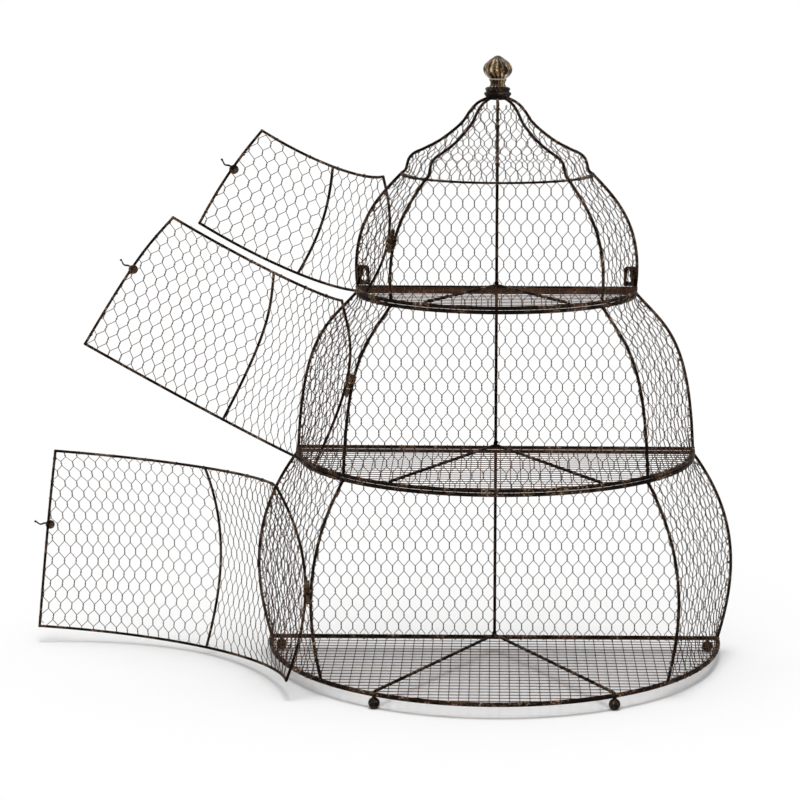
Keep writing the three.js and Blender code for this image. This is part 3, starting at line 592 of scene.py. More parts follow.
for tier in TIERS:
    low, high = tier["base"] + FOOT_IN, tier["top"] - HEAD_IN
    for name, azimuth in RIBS:
        parts = [rib(tier["rib"], azimuth, low, high, RIB_ROD)] + rib_beads(tier, azimuth)
        piece(f"{tier['name']}_{name}_rod", parts, iron, nodes=[f"{tier['name']}_{name}"])
    head = DOME_TOP + SPINE_TIP if tier["name"] == "upper" else tier["top"] - SPINE_HEAD
    lump = bead((0, BACK_Y - SPINE_BEAD_OUT, tier["base"] + SPINE_BEAD_RISE), SPINE_BEAD)
    parts = [straight((0, BACK_Y, tier["base"] + SPINE_FOOT), (0, BACK_Y, head), RIB_ROD), lump]
    # The spines wear the copy of the iron with painted shade.
    piece(tier["name"] + "_spine_rod", parts, painted_shade, nodes=[tier["name"] + "_spine"])
print(len(pieces), "rod pieces so far")

# %% [markdown]
# Five ribs carry the dome. Each stands on the ring with a bead and runs up under the collar.

# %% Dome ribs
DOME_RIBS = [("right", 0.0), ("front_right", FRONT_RIB), ("front", math.pi / 2),
             ("front_left", MIRROR_RIB), ("left", math.pi)]
DOME_START, DOME_BEAD, DOME_BEAD_RISE = 0.5, (2.4, 1.8), 0.4
for name, azimuth in DOME_RIBS:
    radius, z = dome_rib.at_run(np.linspace(DOME_START, dome_rib.run[-1], 90))[:2]
    line = on_plan(azimuth, radius, z)
    parts = [tube(line, sideways(azimuth), DOME_ROD), bead(line[0] + [0, 0, DOME_BEAD_RISE], DOME_BEAD)]
    piece(f"dome_rib_{name}_rod", parts, iron, nodes=[f"dome_rib_{name}"])
print(len(pieces), "rod pieces with the dome")

# %% [markdown]
# ## Square mesh on the floors
# Welded mesh is two layers of straight wires at right angles, half an inch apart, cut to the D. Each wire
# is one thin tube from edge to edge. The cut ends are hidden under the hoop.

# %% Floor mesh
MESH_PITCH, MESH_WIRE, MESH_LAYER = 12.7, 0.56, 0.42
FIRST_WIRE, WIRE_START, EDGE_IN_SHARE = 6.2, 0.5, 0.4


def floor_mesh(radius, rod, z):
    edge = radius - EDGE_IN_SHARE * rod
    parts = []
    for away in np.arange(rod + FIRST_WIRE, edge, MESH_PITCH):  # wires from side to side
        half = math.sqrt(edge ** 2 - away ** 2)
        ends = [(x, BACK_Y - away, z + MESH_LAYER) for x in (-half, half)]
        parts.append(tube(ends, (0, 0, 1), MESH_WIRE, 6, False))
    for right in np.arange(MESH_PITCH / 2, edge, MESH_PITCH):  # wires from back to front, in pairs
        reach = math.sqrt(edge ** 2 - right ** 2)
        for x in (-right, right):
            ends = [(x, BACK_Y - away, z - MESH_LAYER) for away in (WIRE_START, reach)]
            parts.append(tube(ends, (0, 0, 1), MESH_WIRE, 6, False))
    return parts


for tier in TIERS:
    made = piece(tier["name"] + "_square_mesh", floor_mesh(tier["foot"], tier["base_rod"], tier["base"]),
                 mesh_wire, nodes=[tier["name"] + "_floor_mesh"], crease=0)
    print(made.name, len(made.data.polygons), "faces")

# %% [markdown]
# ## Hexagonal netting
# Netting is a row of strands that run up the panel. Each strand is twisted round its right neighbour, then
# crosses over and is twisted round its left one, and so on. So a strand is drawn as it is made: two full
# turns round the middle of a pair, then a slanting stretch to the next pair. Real netting is never pulled
# quite even, so the whole sheet drifts a little.

# %% Strands of a flat net
NET_ROW, TWIST, NET_WIRE, NET_PITCH, NET_WOBBLE = 16.0, 8.6, 0.46, 15.4, 0.35
TWIST_RADIUS = NET_WIRE * 1.02
TURN = np.linspace(0, 4 * np.pi, 9)


def strand(number, rows, pitch):
    """One strand as (x, y, depth) points over a number of rows."""
    out = []
    for row in range(-2, rows + 1):
        side = 1 if (number + row) % 2 == 0 else -1
        middle = (number + side / 2) * pitch / 2
        wobble = NET_WOBBLE * math.sin(2.4 * number + 1.7 * row)
        out.append(np.stack([middle + wobble - side * TWIST_RADIUS * np.cos(TURN),
                             row * NET_ROW + TWIST * TURN / TURN[-1],
                             -side * TWIST_RADIUS * np.sin(TURN)], -1))
    return np.vstack(out)


def pulled(x, y, amount):
    """A slow drift of the whole sheet, by up to about amount millimetres."""
    return (x + amount * (np.sin(x / 23 + 1.3) * np.cos(y / 31) + 0.6 * np.sin(y / 17 + x / 39)),
            y + amount * (np.sin(y / 27 + 0.4) * np.cos(x / 33) + 0.6 * np.cos(x / 19 - y / 41)))


print("a strand of 10 rows has", len(strand(0, 10, NET_PITCH)), "points")

# %% [markdown]
# A sheet is bigger than its panel and is cut to fit. Each strand is followed from point to point, and where
# it leaves the outline it is ended exactly on the line, by the share of the last step that lies inside.


# %% Cutting a strand
def cut(points, inside):
    """The stretches of a strand inside an outline, each ended exactly on it."""
    room = inside(points[:, 0], points[:, 1])
    kept = room >= 0
    stretches, start = [], None
    for i in range(len(points)):
        if kept[i] and start is None:
            start = i
        if start is not None and (not kept[i] or i == len(points) - 1):
            stop = i if not kept[i] else i + 1
            run = points[start:stop]
            if start > 0:
                share = room[start] / (room[start] - room[start - 1])
                run = np.vstack([points[start] + share * (points[start - 1] - points[start]), run])
            if not kept[i]:
                share = room[i - 1] / (room[i - 1] - room[i])
                run = np.vstack([run, points[i - 1] + share * (points[i] - points[i - 1])])
            if len(run) > 2:
                stretches.append(run)
            start = None
    return stretches


# %% [markdown]
# A surface function then bends the flat drawing onto the panel. The strands keep their real spacing, and
# each cut end runs on into the rod there, as real netting is hooked round its frame.


# %% A net on a panel
AT_EDGE = 0.5


def netting(place, half_width, height, into_side, into_end, lay=None, pitch=NET_PITCH, phase=(0.0, 0.0),
            drift=0.5):
    """place(x, y, depth) bends the net; half_width(y) is its outline; into_side and into_end say where the
    rods lie; lay(x, y) says where a point of the flat sheet comes to lie on the panel."""
    reach = float(np.max(half_width(np.linspace(0, height, 20))))

    def inside(x, y):
        return np.minimum(np.minimum(y, height - y), half_width(y) - np.abs(x))

    def hooked(end):
        """The point in the rod where a cut end goes, at the foot, the head or a side."""
        if end[1] < AT_EDGE:
            return end + [0, -into_end[0], into_end[1]]
        if end[1] > height - AT_EDGE:
            return end + [0, into_end[0], into_end[1]]
        return end + [math.copysign(into_side[0], end[0]), 0, into_side[1]]

    parts = []
    for number in range(-int(2 * reach / pitch) - 2, int(2 * reach / pitch) + 3):
        whole = strand(number, int(height / NET_ROW) + 6, pitch) + [*phase, 0]
        whole[:, 0], whole[:, 1] = pulled(whole[:, 0], whole[:, 1], drift)
        if lay:
            whole[:, 0], whole[:, 1] = lay(whole[:, 0], whole[:, 1])
        for run in cut(whole, inside):
            run = np.vstack([hooked(run[0]), run, hooked(run[-1])])
            line = place(*run.T)
            guide = place(run[:, 0], run[:, 1], run[:, 2] + 1.0) - line
            parts.append(tube(line, guide, NET_WIRE, 4, False))
    return parts


# %% [markdown]
# Every few centimetres a cut end is long enough to go round the rod once more. These short coils make the
# rods look rough from afar. They lean a little inwards, so that the outline of the cage stays as it is.

# %% Coils of net wire on a rod
HEART_Y, COIL_WANDER, COIL_STEP, COIL_STOP = BACK_Y - 60, 2.5, 0.22, 3
COIL_TURNS, COIL_TURNS_MORE, COIL_LEAN_SHARE = 1.15, 0.3, 1.9


def coils(line, rod, spacing=NET_PITCH, start=4.0, loose=0.0):
    """Short coils along a rod whose middle runs through the points of line."""
    line = np.asarray(line, float)
    run = np.concatenate([[0], np.cumsum(np.linalg.norm(np.diff(line, axis=0), axis=1))])

    def on_line(at):
        return np.array([np.interp(at, run, line[:, i]) for i in range(3)])

    parts = []
    for number, at in enumerate(np.arange(start, run[-1] - COIL_STOP, spacing)):
        at += COIL_WANDER * math.sin(3.1 * number + run[-1])
        middle = on_line(at)
        inward = unit(np.array([0, HEART_Y, middle[2]]) - middle)
        first, second, axis = basis(on_line(at + 0.5) - middle, inward)
        turns = COIL_TURNS + COIL_TURNS_MORE * math.sin(number)
        turn = np.linspace(0, 2 * np.pi * turns, 14)[:, None]
        round_rod = (rod + NET_WIRE + loose) * (np.cos(turn) * first + np.sin(turn) * second)
        lean = inward * (NET_WIRE * COIL_LEAN_SHARE + loose)
        coil = middle + lean + round_rod + axis * (turn - turn[-1] / 2) * COIL_STEP
        parts.append(tube(coil, axis + 0 * coil, NET_WIRE, 5, False))
    return parts


def rib_coils(profile, azimuth, low, high, rod, shift=0.0, steps=60, **more):
    """Coils on a rib between two heights; what more says goes to coils."""
    return coils(on_plan(azimuth, *profile.line(low, high, steps)) + shift, rod, **more)


# %% [markdown]
# The back nets are flat. They lie just in front of the spine and reach the outer ribs on each side. The top
# one runs on behind the dome, so its outline follows the bell.

# %% Back nets
FROM_SPOKE, FROM_DOME_TOP, FROM_RIB, IN_FRONT = 2.6, 6.0, 0.8, 0.8
COIL_FOOT, COIL_HEAD, STRETCH_WIDTH, BAR_LIFT = 8, 6, 90, 0.2
LEFT_HALF_SHARES, RIGHT_HALF_SHARES = (-1, -0.02), (0.02, 1)


def outer(tier, z):
    """The back outline's half width at a height."""
    if tier["name"] != "upper":
        return tier["rib"].at(z)
    return np.where(np.asarray(z) > tier["top"], dome_rib.at(z), tier["rib"].at(z))


for tier in TIERS:
    low = tier["base"] + SPOKE_RISE + FROM_SPOKE
    high = DOME_TOP - FROM_DOME_TOP if tier["name"] == "upper" else tier["top"] - tier["top_rod"] - SEAT_GAP
    depth = BACK_Y - NET_DEPTH - IN_FRONT
    wide = -STRETCH_WIDTH, STRETCH_WIDTH
    parts = netting(lambda x, y, d: np.stack([x, depth + d, low + y], -1),
                    lambda y: outer(tier, low + y) - FROM_RIB, high - low,
                    into_side=(0.4, 3.2), into_end=(3.0, 3.2),
                    lay=lambda x, y: (x + np.interp(x, wide, tier["net_shift"]), y),
                    pitch=tier["net_pitch"], phase=(0.0, tier["net_lift"]), drift=0.3)
    for azimuth in (0.0, math.pi):
        parts += rib_coils(tier["rib"], azimuth, tier["base"] + COIL_FOOT, tier["top"] - COIL_HEAD,
                           RIB_ROD, spacing=13.0, start=9.0, loose=0.5)
    level = tier["base"] + BAR_LIFT
    for start, end in (LEFT_HALF_SHARES, RIGHT_HALF_SHARES):
        parts += coils([(start * tier["foot"], BACK_Y, level), (end * tier["foot"], BACK_Y, level)],
                       tier["base_rod"], start=14.0, loose=0.4)
    made = piece(tier["name"] + "_back_netting", parts, net_wire,
                 nodes=[tier["name"] + "_back_net"], crease=0)
    print(made.name, len(made.data.polygons), "faces")

# %% [markdown]
# The other nets are bent round the ribs. Netting is stiff, so between two upright rods it stays nearly
# flat, and it follows the round of the hoops only near its top and bottom edge. The surface below mixes
# the two: a chord from rod to rod, and the hoop's arc, weighted by how near the edge a point lies. A flat
# sheet that is bent to a cone also has rows that curve, so a second function lays the sheet on the cone
# from the tier's foot to its head.


# %% Bowed panels
def bowed(profile, low, high, inset, stops, gaps=(0.0, 0.0)):
    """Returns place, half_width, height and lay for a net that hangs on rods at the azimuths in stops."""
    start_run, end_run = profile.run_at(low), profile.run_at(high)

    def surface(y, depth):
        radius, z, lean, rise = profile.at_run(start_run + np.asarray(y))
        return radius - (inset - depth) * rise, z + (inset - depth) * lean

    def edges(y):
        radius = surface(y, 0.0)[0]
        return stops[0] + np.arcsin(gaps[0] / radius), stops[-1] - np.arcsin(gaps[1] / radius), radius

    def half_width(y):
        first, last, radius = edges(y)
        return radius * (last - first) / 2

    def place(x, y, depth):
        first, last, plain = edges(y)
        radius, z = surface(y, depth)
        azimuth = (first + last) / 2 + x / plain
        stations = [first] + [np.full_like(plain, stop) for stop in stops[1:-1]] + [last]
        chord = radius
        for left, right in zip(stations, stations[1:]):
            half = (right - left) / 2
            off = np.clip(azimuth - left - half, -half, half)
            here = (azimuth >= left) & (azimuth <= right)
            chord = np.where(here, radius * np.cos(half) / np.cos(off), chord)
        hold = np.abs(2 * np.clip(y / (end_run - start_run), 0, 1) - 1) ** 4
        return on_plan(azimuth, chord + (radius - chord) * hold, z)

    height = end_run - start_run
    foot, head = float(surface(0.0, 0.0)[0]), float(surface(height, 0.0)[0])
    narrowing = (foot - head) / height
    apex = foot / narrowing

    def lay(x, y):
        """A flat sheet on the cone from foot to head, eased half of the way out to the bow's own width."""
        turn = np.arctan2(x, apex - y)
        up = apex - np.hypot(x, apex - y)
        cone = foot - narrowing * up
        return (cone + surface(np.clip(up, 0, height), 0.0)[0]) / 2 * turn / narrowing, up

    return place, half_width, height, lay


# %% [markdown]
# The side nets hang between an outer rib and a jamb. They stop short of the back net by a small gap. Their
# coils sit on both ribs and on the hoops below and above.

# %% Side nets
EDGE_GAP, CORNER_GAP, HOOP_END = 1.9, 6.5, 0.05
for tier in TIERS:
    low, high = tier["base"] + tier["base_rod"] + EDGE_GAP, tier["top"] - tier["top_rod"] - EDGE_GAP
    for side, stops, gaps in (("right", (0.0, FRONT_RIB), (CORNER_GAP, 0.0)),
                              ("left", (MIRROR_RIB, math.pi), (0.0, CORNER_GAP))):
        *panel, lay = bowed(tier["rib"], low, high, NET_DEPTH + IN_FRONT, stops, gaps)
        parts = netting(*panel, into_side=(0.2, 3.2), into_end=(3.6, 2.6), lay=lay, phase=(0.0, 5.0),
                        drift=1.1)
        for azimuth in stops:
            parts += rib_coils(tier["rib"], azimuth, tier["base"] + COIL_FOOT, tier["top"] - COIL_HEAD,
                               RIB_ROD, spacing=16.0)
        hoops = np.linspace(stops[0] + HOOP_END, stops[-1] - HOOP_END, 40)
        parts += coils(on_plan(hoops, tier["foot"], tier["base"]), tier["base_rod"], loose=0.3)
        parts += coils(on_plan(hoops, tier["head"], tier["top"]), tier["top_rod"], loose=0.3)
        made = piece(f"{tier['name']}_side_netting_{side}", parts, net_wire,
                     nodes=[f"{tier['name']}_side_net_{side}"], crease=0)
        print(made.name, len(made.data.polygons), "faces")

# %% [markdown]
# The dome's net is one sheet round all five ribs. It is gathered towards the collar, so its strands stay
# upright and are not laid as on a cone.

# %% Dome net
DOME_STOPS = [azimuth for _, azimuth in DOME_RIBS]
DOME_NET_FOOT, DOME_NET_HEAD, DOME_NET_IN = 3.4, 5.7, 1.2
DOME_COIL_FOOT, DOME_COIL_HEAD = 6, 8
*panel, _ = bowed(dome_rib, UPPER_TOP + DOME_NET_FOOT, DOME_TOP - DOME_NET_HEAD, NET_DEPTH + DOME_NET_IN,
                  DOME_STOPS, (CORNER_GAP, CORNER_GAP))
parts = netting(*panel, into_side=(0.0, 3.2), into_end=(2.6, 2.6), phase=(0.0, 3.0), drift=1.0)
for azimuth in DOME_STOPS:
    parts += rib_coils(dome_rib, azimuth, UPPER_TOP + DOME_COIL_FOOT, DOME_TOP - DOME_COIL_HEAD, DOME_ROD,
                       steps=80, spacing=13.0, loose=0.3)
parts += coils(on_plan(np.linspace(HOOP_END, math.pi - HOOP_END, 90), RING, UPPER_TOP), RING_ROD)
made = piece("dome_netting", parts, net_wire, nodes=["dome_net"], crease=0)
print(made.name, len(made.data.polygons), "faces")

# %% [markdown]
# ## Doors
# A door is bent like the front of its tier, a little larger, and hangs on the left front rib. It is drawn
# shut and then swung open about its hinge, by the angle that the joint's range gives. Its frame is one
# bent rod all round with a rod up the middle.

# %% Door frames
DOOR_SIDE, DOOR_FLOOR, DOOR_TOP, DOOR_BEAD = 4.4, 6.0, 7.4, (2.0, 2.0)
HINGE_SIDE, FREE_SIDE = -DOOR_SIDE * sideways(MIRROR_RIB), DOOR_SIDE * sideways(FRONT_RIB)


def swung(tier):
    joint = joints[tier["name"] + "_door_hinge"]
    pivot, axis = Vector(joint["pos_m"]), Vector(joint["axis"])
    turn = Matrix.Rotation(-math.radians(joint["range_deg"][1]), 4, axis)
    return Matrix.Translation(pivot) @ turn @ Matrix.Translation(-pivot)


def door_arc(door, z):
    edge = math.asin(DOOR_SIDE / door.at(z))
    return arc(door.at(z), z, DOOR_ROD, FRONT_RIB + edge, MIRROR_RIB - edge, 49)


for tier in TIERS:
    low, high = tier["base"] + DOOR_FLOOR, tier["top"] - DOOR_TOP
    tier["door_low"], tier["door_high"], tier["swing"] = low, high, swung(tier)
    door = tier["door"]
    corner_points = [on_plan(azimuth, door.at(z), z) + side for z in (low, high)
                     for azimuth, side in ((MIRROR_RIB, HINGE_SIDE), (FRONT_RIB, FREE_SIDE))]
    tier["door_parts"] = [
        rib(door, MIRROR_RIB, low, high, DOOR_ROD, shift=HINGE_SIDE),
        rib(door, FRONT_RIB, low, high, DOOR_ROD, shift=FREE_SIDE),
        rib(door, math.pi / 2, low, high, DOOR_ROD),
        door_arc(door, low), door_arc(door, high),
    ] + [bead(point, DOOR_BEAD) for point in corner_points]
    print(tier["name"], "door is", round(high - low, 1), "mm tall")

# %% [markdown]
# A door's net hangs inside its frame, on the two side rods and the middle one. Coils sit on the free side
# and the top only: on the bottom they would brush the floor when the door is shut.

# %% Door nets
DOOR_NET_FOOT, DOOR_NET_IN, DOOR_COIL_END, DOOR_BEND_END = 1.9, 1.7, 5, 0.06
for tier in TIERS:
    low, high, door = tier["door_low"], tier["door_high"], tier["door"]
    *panel, lay = bowed(door, low + DOOR_NET_FOOT, high, DOOR_ROD * CORNER + DOOR_NET_IN,
                        (FRONT_RIB, math.pi / 2, MIRROR_RIB), (DOOR_SIDE, DOOR_SIDE))
    parts = netting(*panel, into_side=(0.2, 2.9), into_end=(1.4, 2.9), lay=lay,
                    pitch=tier["door_pitch"], phase=(0.0, 2.0), drift=0.7)
    parts += rib_coils(door, FRONT_RIB, low + DOOR_COIL_END, high - DOOR_COIL_END, DOOR_ROD,
                       shift=FREE_SIDE, spacing=32.0, start=10.0)
    bend = np.linspace(FRONT_RIB + DOOR_BEND_END, MIRROR_RIB - DOOR_BEND_END, 60)
    parts += coils(on_plan(bend, door.at(high), high), DOOR_ROD, spacing=46.0, start=20.0)
    made = piece(tier["name"] + "_door_netting", parts, net_wire, tier["name"] + "_door",
                 [tier["name"] + "_door_net"], tier["swing"], 0)
    print(made.name, len(made.data.polygons), "faces")

# %% [markdown]
# Each hinge is a barrel of three knuckles on one pin. The middle knuckle is welded to the rib and the outer
# two to the door, so the pin and the middle knuckle stay still while the others turn round them. A short
# flat leaf ties each knuckle to its rod. The corners of a turned outline that began on its axis would all
# fall together, so from here on such an outline begins a hair's breadth beside it.

# %% Knuckles and leaves
AXIS = 0.05


def hinge_places(tier):
    """The hinge's point and axis, and the ways from it to the jamb and to the door's rod."""
    low, high = tier["door_low"], tier["door_high"]
    z = low + (high - low) * tier["hinge_share"]
    radius, _, lean, rise = tier["rib"].at_run(tier["rib"].run_at(z))
    normal = outward(MIRROR_RIB) * rise + np.array([0, 0, -lean])
    joint = joints[tier["name"] + "_door_hinge"]
    pivot, axis = np.array(joint["pos_m"]) * 1000, unit(joint["axis"])
    door_rod = on_plan(MIRROR_RIB, radius, z) + HINGE_SIDE + DOOR_OUT * outward(MIRROR_RIB)
    to_jamb, to_door = [way - (way @ axis) * axis for way in (-normal, door_rod - pivot)]
    return pivot, axis, to_jamb, to_door


def barrel(pivot, axis, start, length, radius=2.3, bevel=0.35):
    outline = [(AXIS, 0), (radius - bevel, 0), (radius, bevel), (radius, length - bevel),
               (radius - bevel, length), (AXIS, length)]
    return turned(outline, pivot + axis * start, axis, 24)


def plate(start, reach, wide, thick):
    """A flat bar from start along reach, wide across the first direction and thick across the second."""
    ends = [np.array([sign_w * np.array(wide) / 2 + sign_t * np.array(thick) / 2 + base
                      for sign_w, sign_t in ((-1, -1), (1, -1), (1, 1), (-1, 1))])
            for base in (np.asarray(start), np.asarray(start) + reach)]
    quads = np.array([[i, (i + 1) % 4, 4 + (i + 1) % 4, 4 + i] for i in range(4)])
    if np.dot(np.cross(wide, thick), reach) < 0:
        return np.vstack(ends), quads[:, ::-1], [[0, 1, 2, 3], [7, 6, 5, 4]]
    return np.vstack(ends), quads, [[3, 2, 1, 0], [4, 5, 6, 7]]


# %% [markdown]
# The knuckles' lengths differ a little, the lowest being 10 mm long, with a hair's breadth between them.
# The outer two and their leaves ride on the door. The middle one, its lug and the heads of the pin stay
# with the cage.

# %% Hinges
KNUCKLE_LOW, KNUCKLE_MIDDLE, KNUCKLE_HIGH = 10, 7, 11
LEAF_FROM, LEAF_THICK, LEAF_TALL_SHARE = 1.8, 1.4, 0.94
LUG_FROM, LUG_REACH, LUG_TALL, LUG_THICK = 1.6, 2.9, 6.8, 2.4
PIN_HEAD, PIN_HEAD_GAP = [(AXIS, 0), (1.6, 0), (1.9, 0.3), (1.6, 0.75), (0.8, 0.95), (AXIS, 1.0)], 0.15
barrel_length = KNUCKLE_LOW + KNUCKLE_MIDDLE + KNUCKLE_HIGH + 2 * SEAT_GAP
half_barrel = barrel_length / 2
for tier in TIERS:
    pivot, axis, to_jamb, to_door = hinge_places(tier)
    knuckles, across = [], unit(np.cross(axis, to_door))
    for start, length in ((-half_barrel, KNUCKLE_LOW), (half_barrel - KNUCKLE_HIGH, KNUCKLE_HIGH)):
        leaf_start = pivot + axis * (start + length / 2) + unit(to_door) * LEAF_FROM
        leaf_reach = to_door - unit(to_door) * LEAF_FROM
        knuckles += [barrel(pivot, axis, start, length),
                     plate(leaf_start, leaf_reach, axis * length * LEAF_TALL_SHARE, across * LEAF_THICK)]
    piece(tier["name"] + "_hinge_knuckles", knuckles, wear_and_sheen, tier["name"] + "_door",
          swing=tier["swing"])
    middle = KNUCKLE_LOW + SEAT_GAP - half_barrel
    lug_start = pivot + axis * (middle + KNUCKLE_MIDDLE / 2) + unit(to_jamb) * LUG_FROM
    lug = plate(lug_start, unit(to_jamb) * LUG_REACH, axis * LUG_TALL,
                unit(np.cross(axis, to_jamb)) * LUG_THICK)
    heads = [turned(PIN_HEAD, pivot + way * (half_barrel + PIN_HEAD_GAP), way, 20) for way in (axis, -axis)]
    piece(tier["name"] + "_hinge_pin", [barrel(pivot, axis, middle, KNUCKLE_MIDDLE), lug] + heads, iron,
          nodes=[tier["name"] + "_hinge_spindle"])
print("hinges:", len([name for name in pieces if "hinge" in name]), "pieces")

# %% [markdown]
# The latch is a disc that is welded to the free edge, with a bent wire hook that turns on a rivet through
# it. The hook is thick where it leaves the rivet, dips once, and ends in a small ball.

# %% Latches
DISC_SINK, DISC_THICK, DISC_IN = 0.5, 1.6, 2.9
HOOK_LENGTH, HOOK_ROD, HOOK_BALL = 20, 1.3, (1.6, 1.6)
DISC = [(AXIS, 0), (5.7, 0), (6.25, 0.3), (6.25, 1.2), (5.9, DISC_THICK), (3.4, DISC_THICK),
        (AXIS, DISC_THICK)]
RIVET = [(AXIS, 0), (2.9, 0), (2.95, 1.5), (2.6, 2.1), (1.6, 2.6), (AXIS, 2.75)]
WAVE_SHARES = np.array([[0, 0], [0.2, 0.03], [0.4, 0.02], [0.6, -0.07], [0.74, -0.045], [0.88, 0.045],
                        [1, 0.1]])


def latch_frame(tier):
    """The latch's middle, just inside the door's free rod, and the ways beyond the rod, up it and out."""
    z = tier["door_low"] + (tier["door_high"] - tier["door_low"]) * tier["latch_share"]
    radius, _, lean, rise = tier["door"].at_run(tier["door"].run_at(z))
    normal = outward(FRONT_RIB) * rise + np.array([0, 0, -lean])
    beyond = -sideways(FRONT_RIB)
    centre = on_plan(FRONT_RIB, radius, z) + FREE_SIDE - DISC_IN * beyond
    return centre, beyond, np.cross(normal, beyond), normal


for tier in TIERS:
    centre, beyond, upward, normal = latch_frame(tier)
    disc_base = DOOR_ROD - DISC_SINK
    arm_height = disc_base + DISC_THICK + SEAT_GAP + HOOK_ROD
    flat = through(WAVE_SHARES, 10) * HOOK_LENGTH
    line = centre + normal * arm_height + flat[:, :1] * beyond + flat[:, 1:] * upward
    thickness = np.interp(flat[:, 0], [0, 11, 14, HOOK_LENGTH], [HOOK_ROD, 1.2, 1.0, 0.95])
    parts = [turned(RIVET, centre + normal * (arm_height - HOOK_ROD), normal, 24),
             tube(line, normal, thickness, 10), bead(line[-1], HOOK_BALL)]
    name = tier["name"]
    piece(name + "_hook_wire", parts, iron, name + "_hook", [name + "_latch_hook"], tier["swing"])
    # The disc's lighter finish is hand wear and painted sheen on its flat face.
    piece(name + "_latch_disc", [turned(DISC, centre + normal * disc_base, normal, 32)], wear_and_sheen,
          name + "_door", swing=tier["swing"])
    piece(name + "_door_rods", tier["door_parts"], iron, name + "_door", [name + "_door_frame"],
          tier["swing"])
print(len(pieces), "pieces with the doors")

# %% [markdown]
# ## Collar and glass finial
# The dome's ribs end under a turned iron collar with two rolled lips. An outline of its lips, spun round
# the cage's middle line, is all it takes.

# %% Collar
COLLAR_BASE = DOME_TOP + DOME_ROD
COLLAR = [(AXIS, -1.6), (12.0, -1.6), (13.0, -1.0), (14.2, 0.4), (15.6, 2.2), (16.9, 4.0), (17.6, 5.2),
          (17.8, 6.0), (17.7, 6.8), (16.9, 7.6), (15.4, 8.1), (15.2, 8.8), (15.5, 10.4), (16.2, 11.4),
          (16.4, 12.2), (16.0, 12.9), (14.8, 13.8), (14.2, 14.4), (AXIS, 14.5)]
piece("turned_collar", [turned(COLLAR, (0, BACK_Y, COLLAR_BASE), segments=64)], cast,
      nodes=["collar"], crease=35)
print("the collar stands at", round(COLLAR_BASE, 1), "mm")

# %% [markdown]
# The glass stands in the collar: a waisted foot, a thin ring, and an onion-shaped bulb. Its eight lobes are
# a swelling that is added to the radius while the outline is spun, strongest at the belly of the bulb and
# gone at its tip. The outline is smoothed first, because glass has no corners.

# %% Glass bulb
GLASS_SEAT = 14.8
GLASS_BASE = COLLAR_BASE + GLASS_SEAT
GLASS_TALL, LOBES_FROM_SHARE, LOBE_SWELL, LOBES = 40.5, 0.24, 1.1, 8
FOOT_AND_BULB = np.array([
    (0.3, 0.0), (10.6, 0.0), (11.0, 0.6), (10.3, 1.8), (9.7, 3.6), (9.9, 5.6), (10.6, 7.4), (11.3, 8.4),
    (11.5, 9.2), (11.2, 10.0), (11.4, 11.0), (13.2, 12.6), (15.4, 15.0), (17.1, 18.2), (17.9, 21.6),
    (17.8, 24.4), (16.6, 27.8), (14.2, 31.0), (10.9, 34.0), (7.4, 36.8), (4.6, 38.8), (2.2, 40.1),
    (0.3, 40.4)])


def lobes(radius, height, angle):
    """How much the bulb swells at a height and an angle round the axis."""
    belly = np.sin(np.pi * np.clip((height / GLASS_TALL - LOBES_FROM_SHARE) / (1 - LOBES_FROM_SHARE), 0, 1))
    fold = np.cos(LOBES * angle) * np.abs(np.cos(LOBES / 2 * angle)) ** 0.2
    return np.where(radius > 0.5, LOBE_SWELL * belly * fold, 0)


piece("glass_bulb", [turned(through(FOOT_AND_BULB, 4), (0, BACK_Y, GLASS_BASE), segments=96, swell=lobes)],
      amber, nodes=["glass_finial"], crease=0)
print("tip of the glass at", round(GLASS_BASE + FOOT_AND_BULB[-1, 1], 1), "mm")

# %% [markdown]
# ## Feet and hanger plates
# Four iron balls on short necks carry the cage on a shelf. Each is filed flat underneath. The two front ones
# sit under the tips of the spokes, the back ones near the ends of the back bar.

# %% Feet
BALL, BALL_CENTRE, NECK, NECK_TOP, FLAT, BACK_FOOT = 7.3, -11.2, 2.6, -3.0, 2.4, 288.0
ball_angles = np.linspace(math.asin(NECK / BALL), math.pi - math.asin(FLAT / BALL), 18)
NECK_WAIST = (2.45, -3.7)
foot_outline = [(AXIS, NECK_TOP), (NECK, NECK_TOP), NECK_WAIST]
foot_outline += [(BALL * math.sin(angle), BALL_CENTRE + BALL * math.cos(angle)) for angle in ball_angles]
foot_outline.append((AXIS, foot_outline[-1][1]))
FEET = [("front_right", *on_plan(SPOKE, FLOOR_RADIUS, 0)[:2]),
        ("front_left", *on_plan(MIRROR_SPOKE, FLOOR_RADIUS, 0)[:2]),
        ("back_right", BACK_FOOT, BACK_Y), ("back_left", -BACK_FOOT, BACK_Y)]
for name, x, y in FEET:
    piece(f"foot_{name}_ball", [turned(foot_outline[::-1], (x, y, 0), segments=40)], cast,
          nodes=[f"foot_{name}"])
print("the feet stand at", round(foot_outline[-1][1], 2), "mm")

# %% [markdown]
# Two small plates with keyholes, in the back corners of the top tier, hang the cage on the wall: the
# screw's head goes through the round hole, and the cage then drops until the shank is in the slot. A plate
# with a hole is easiest as a filled 2D curve: one outline for the plate and one for the keyhole. Blender
# fills between them, gives the sheet its thickness and rounds its edges, and the result is then kept as a
# mesh. The rounding adds a rim outside the outline, so the foot, the head and the inner edge are drawn in
# by that much. The outer edge is left to run on to the rib.

# %% Hanger plates
PLATE_IN, PLATE_FOOT, PLATE_TALL, PLATE_ROUND, PLATE_RIM = 167.39, 479.6, 26, 6, 0.24
FOOT_WIDTH, HEAD_WIDTH = 15.6, 16.4
HOLE, SLOT, KEY_ACROSS, HOLE_RISE, SLOT_RISE = 4.0, 1.8, 6.5, 8.8, 19.2
PLATE_HALF, PLATE_OFF_WALL = 0.5, 0.76


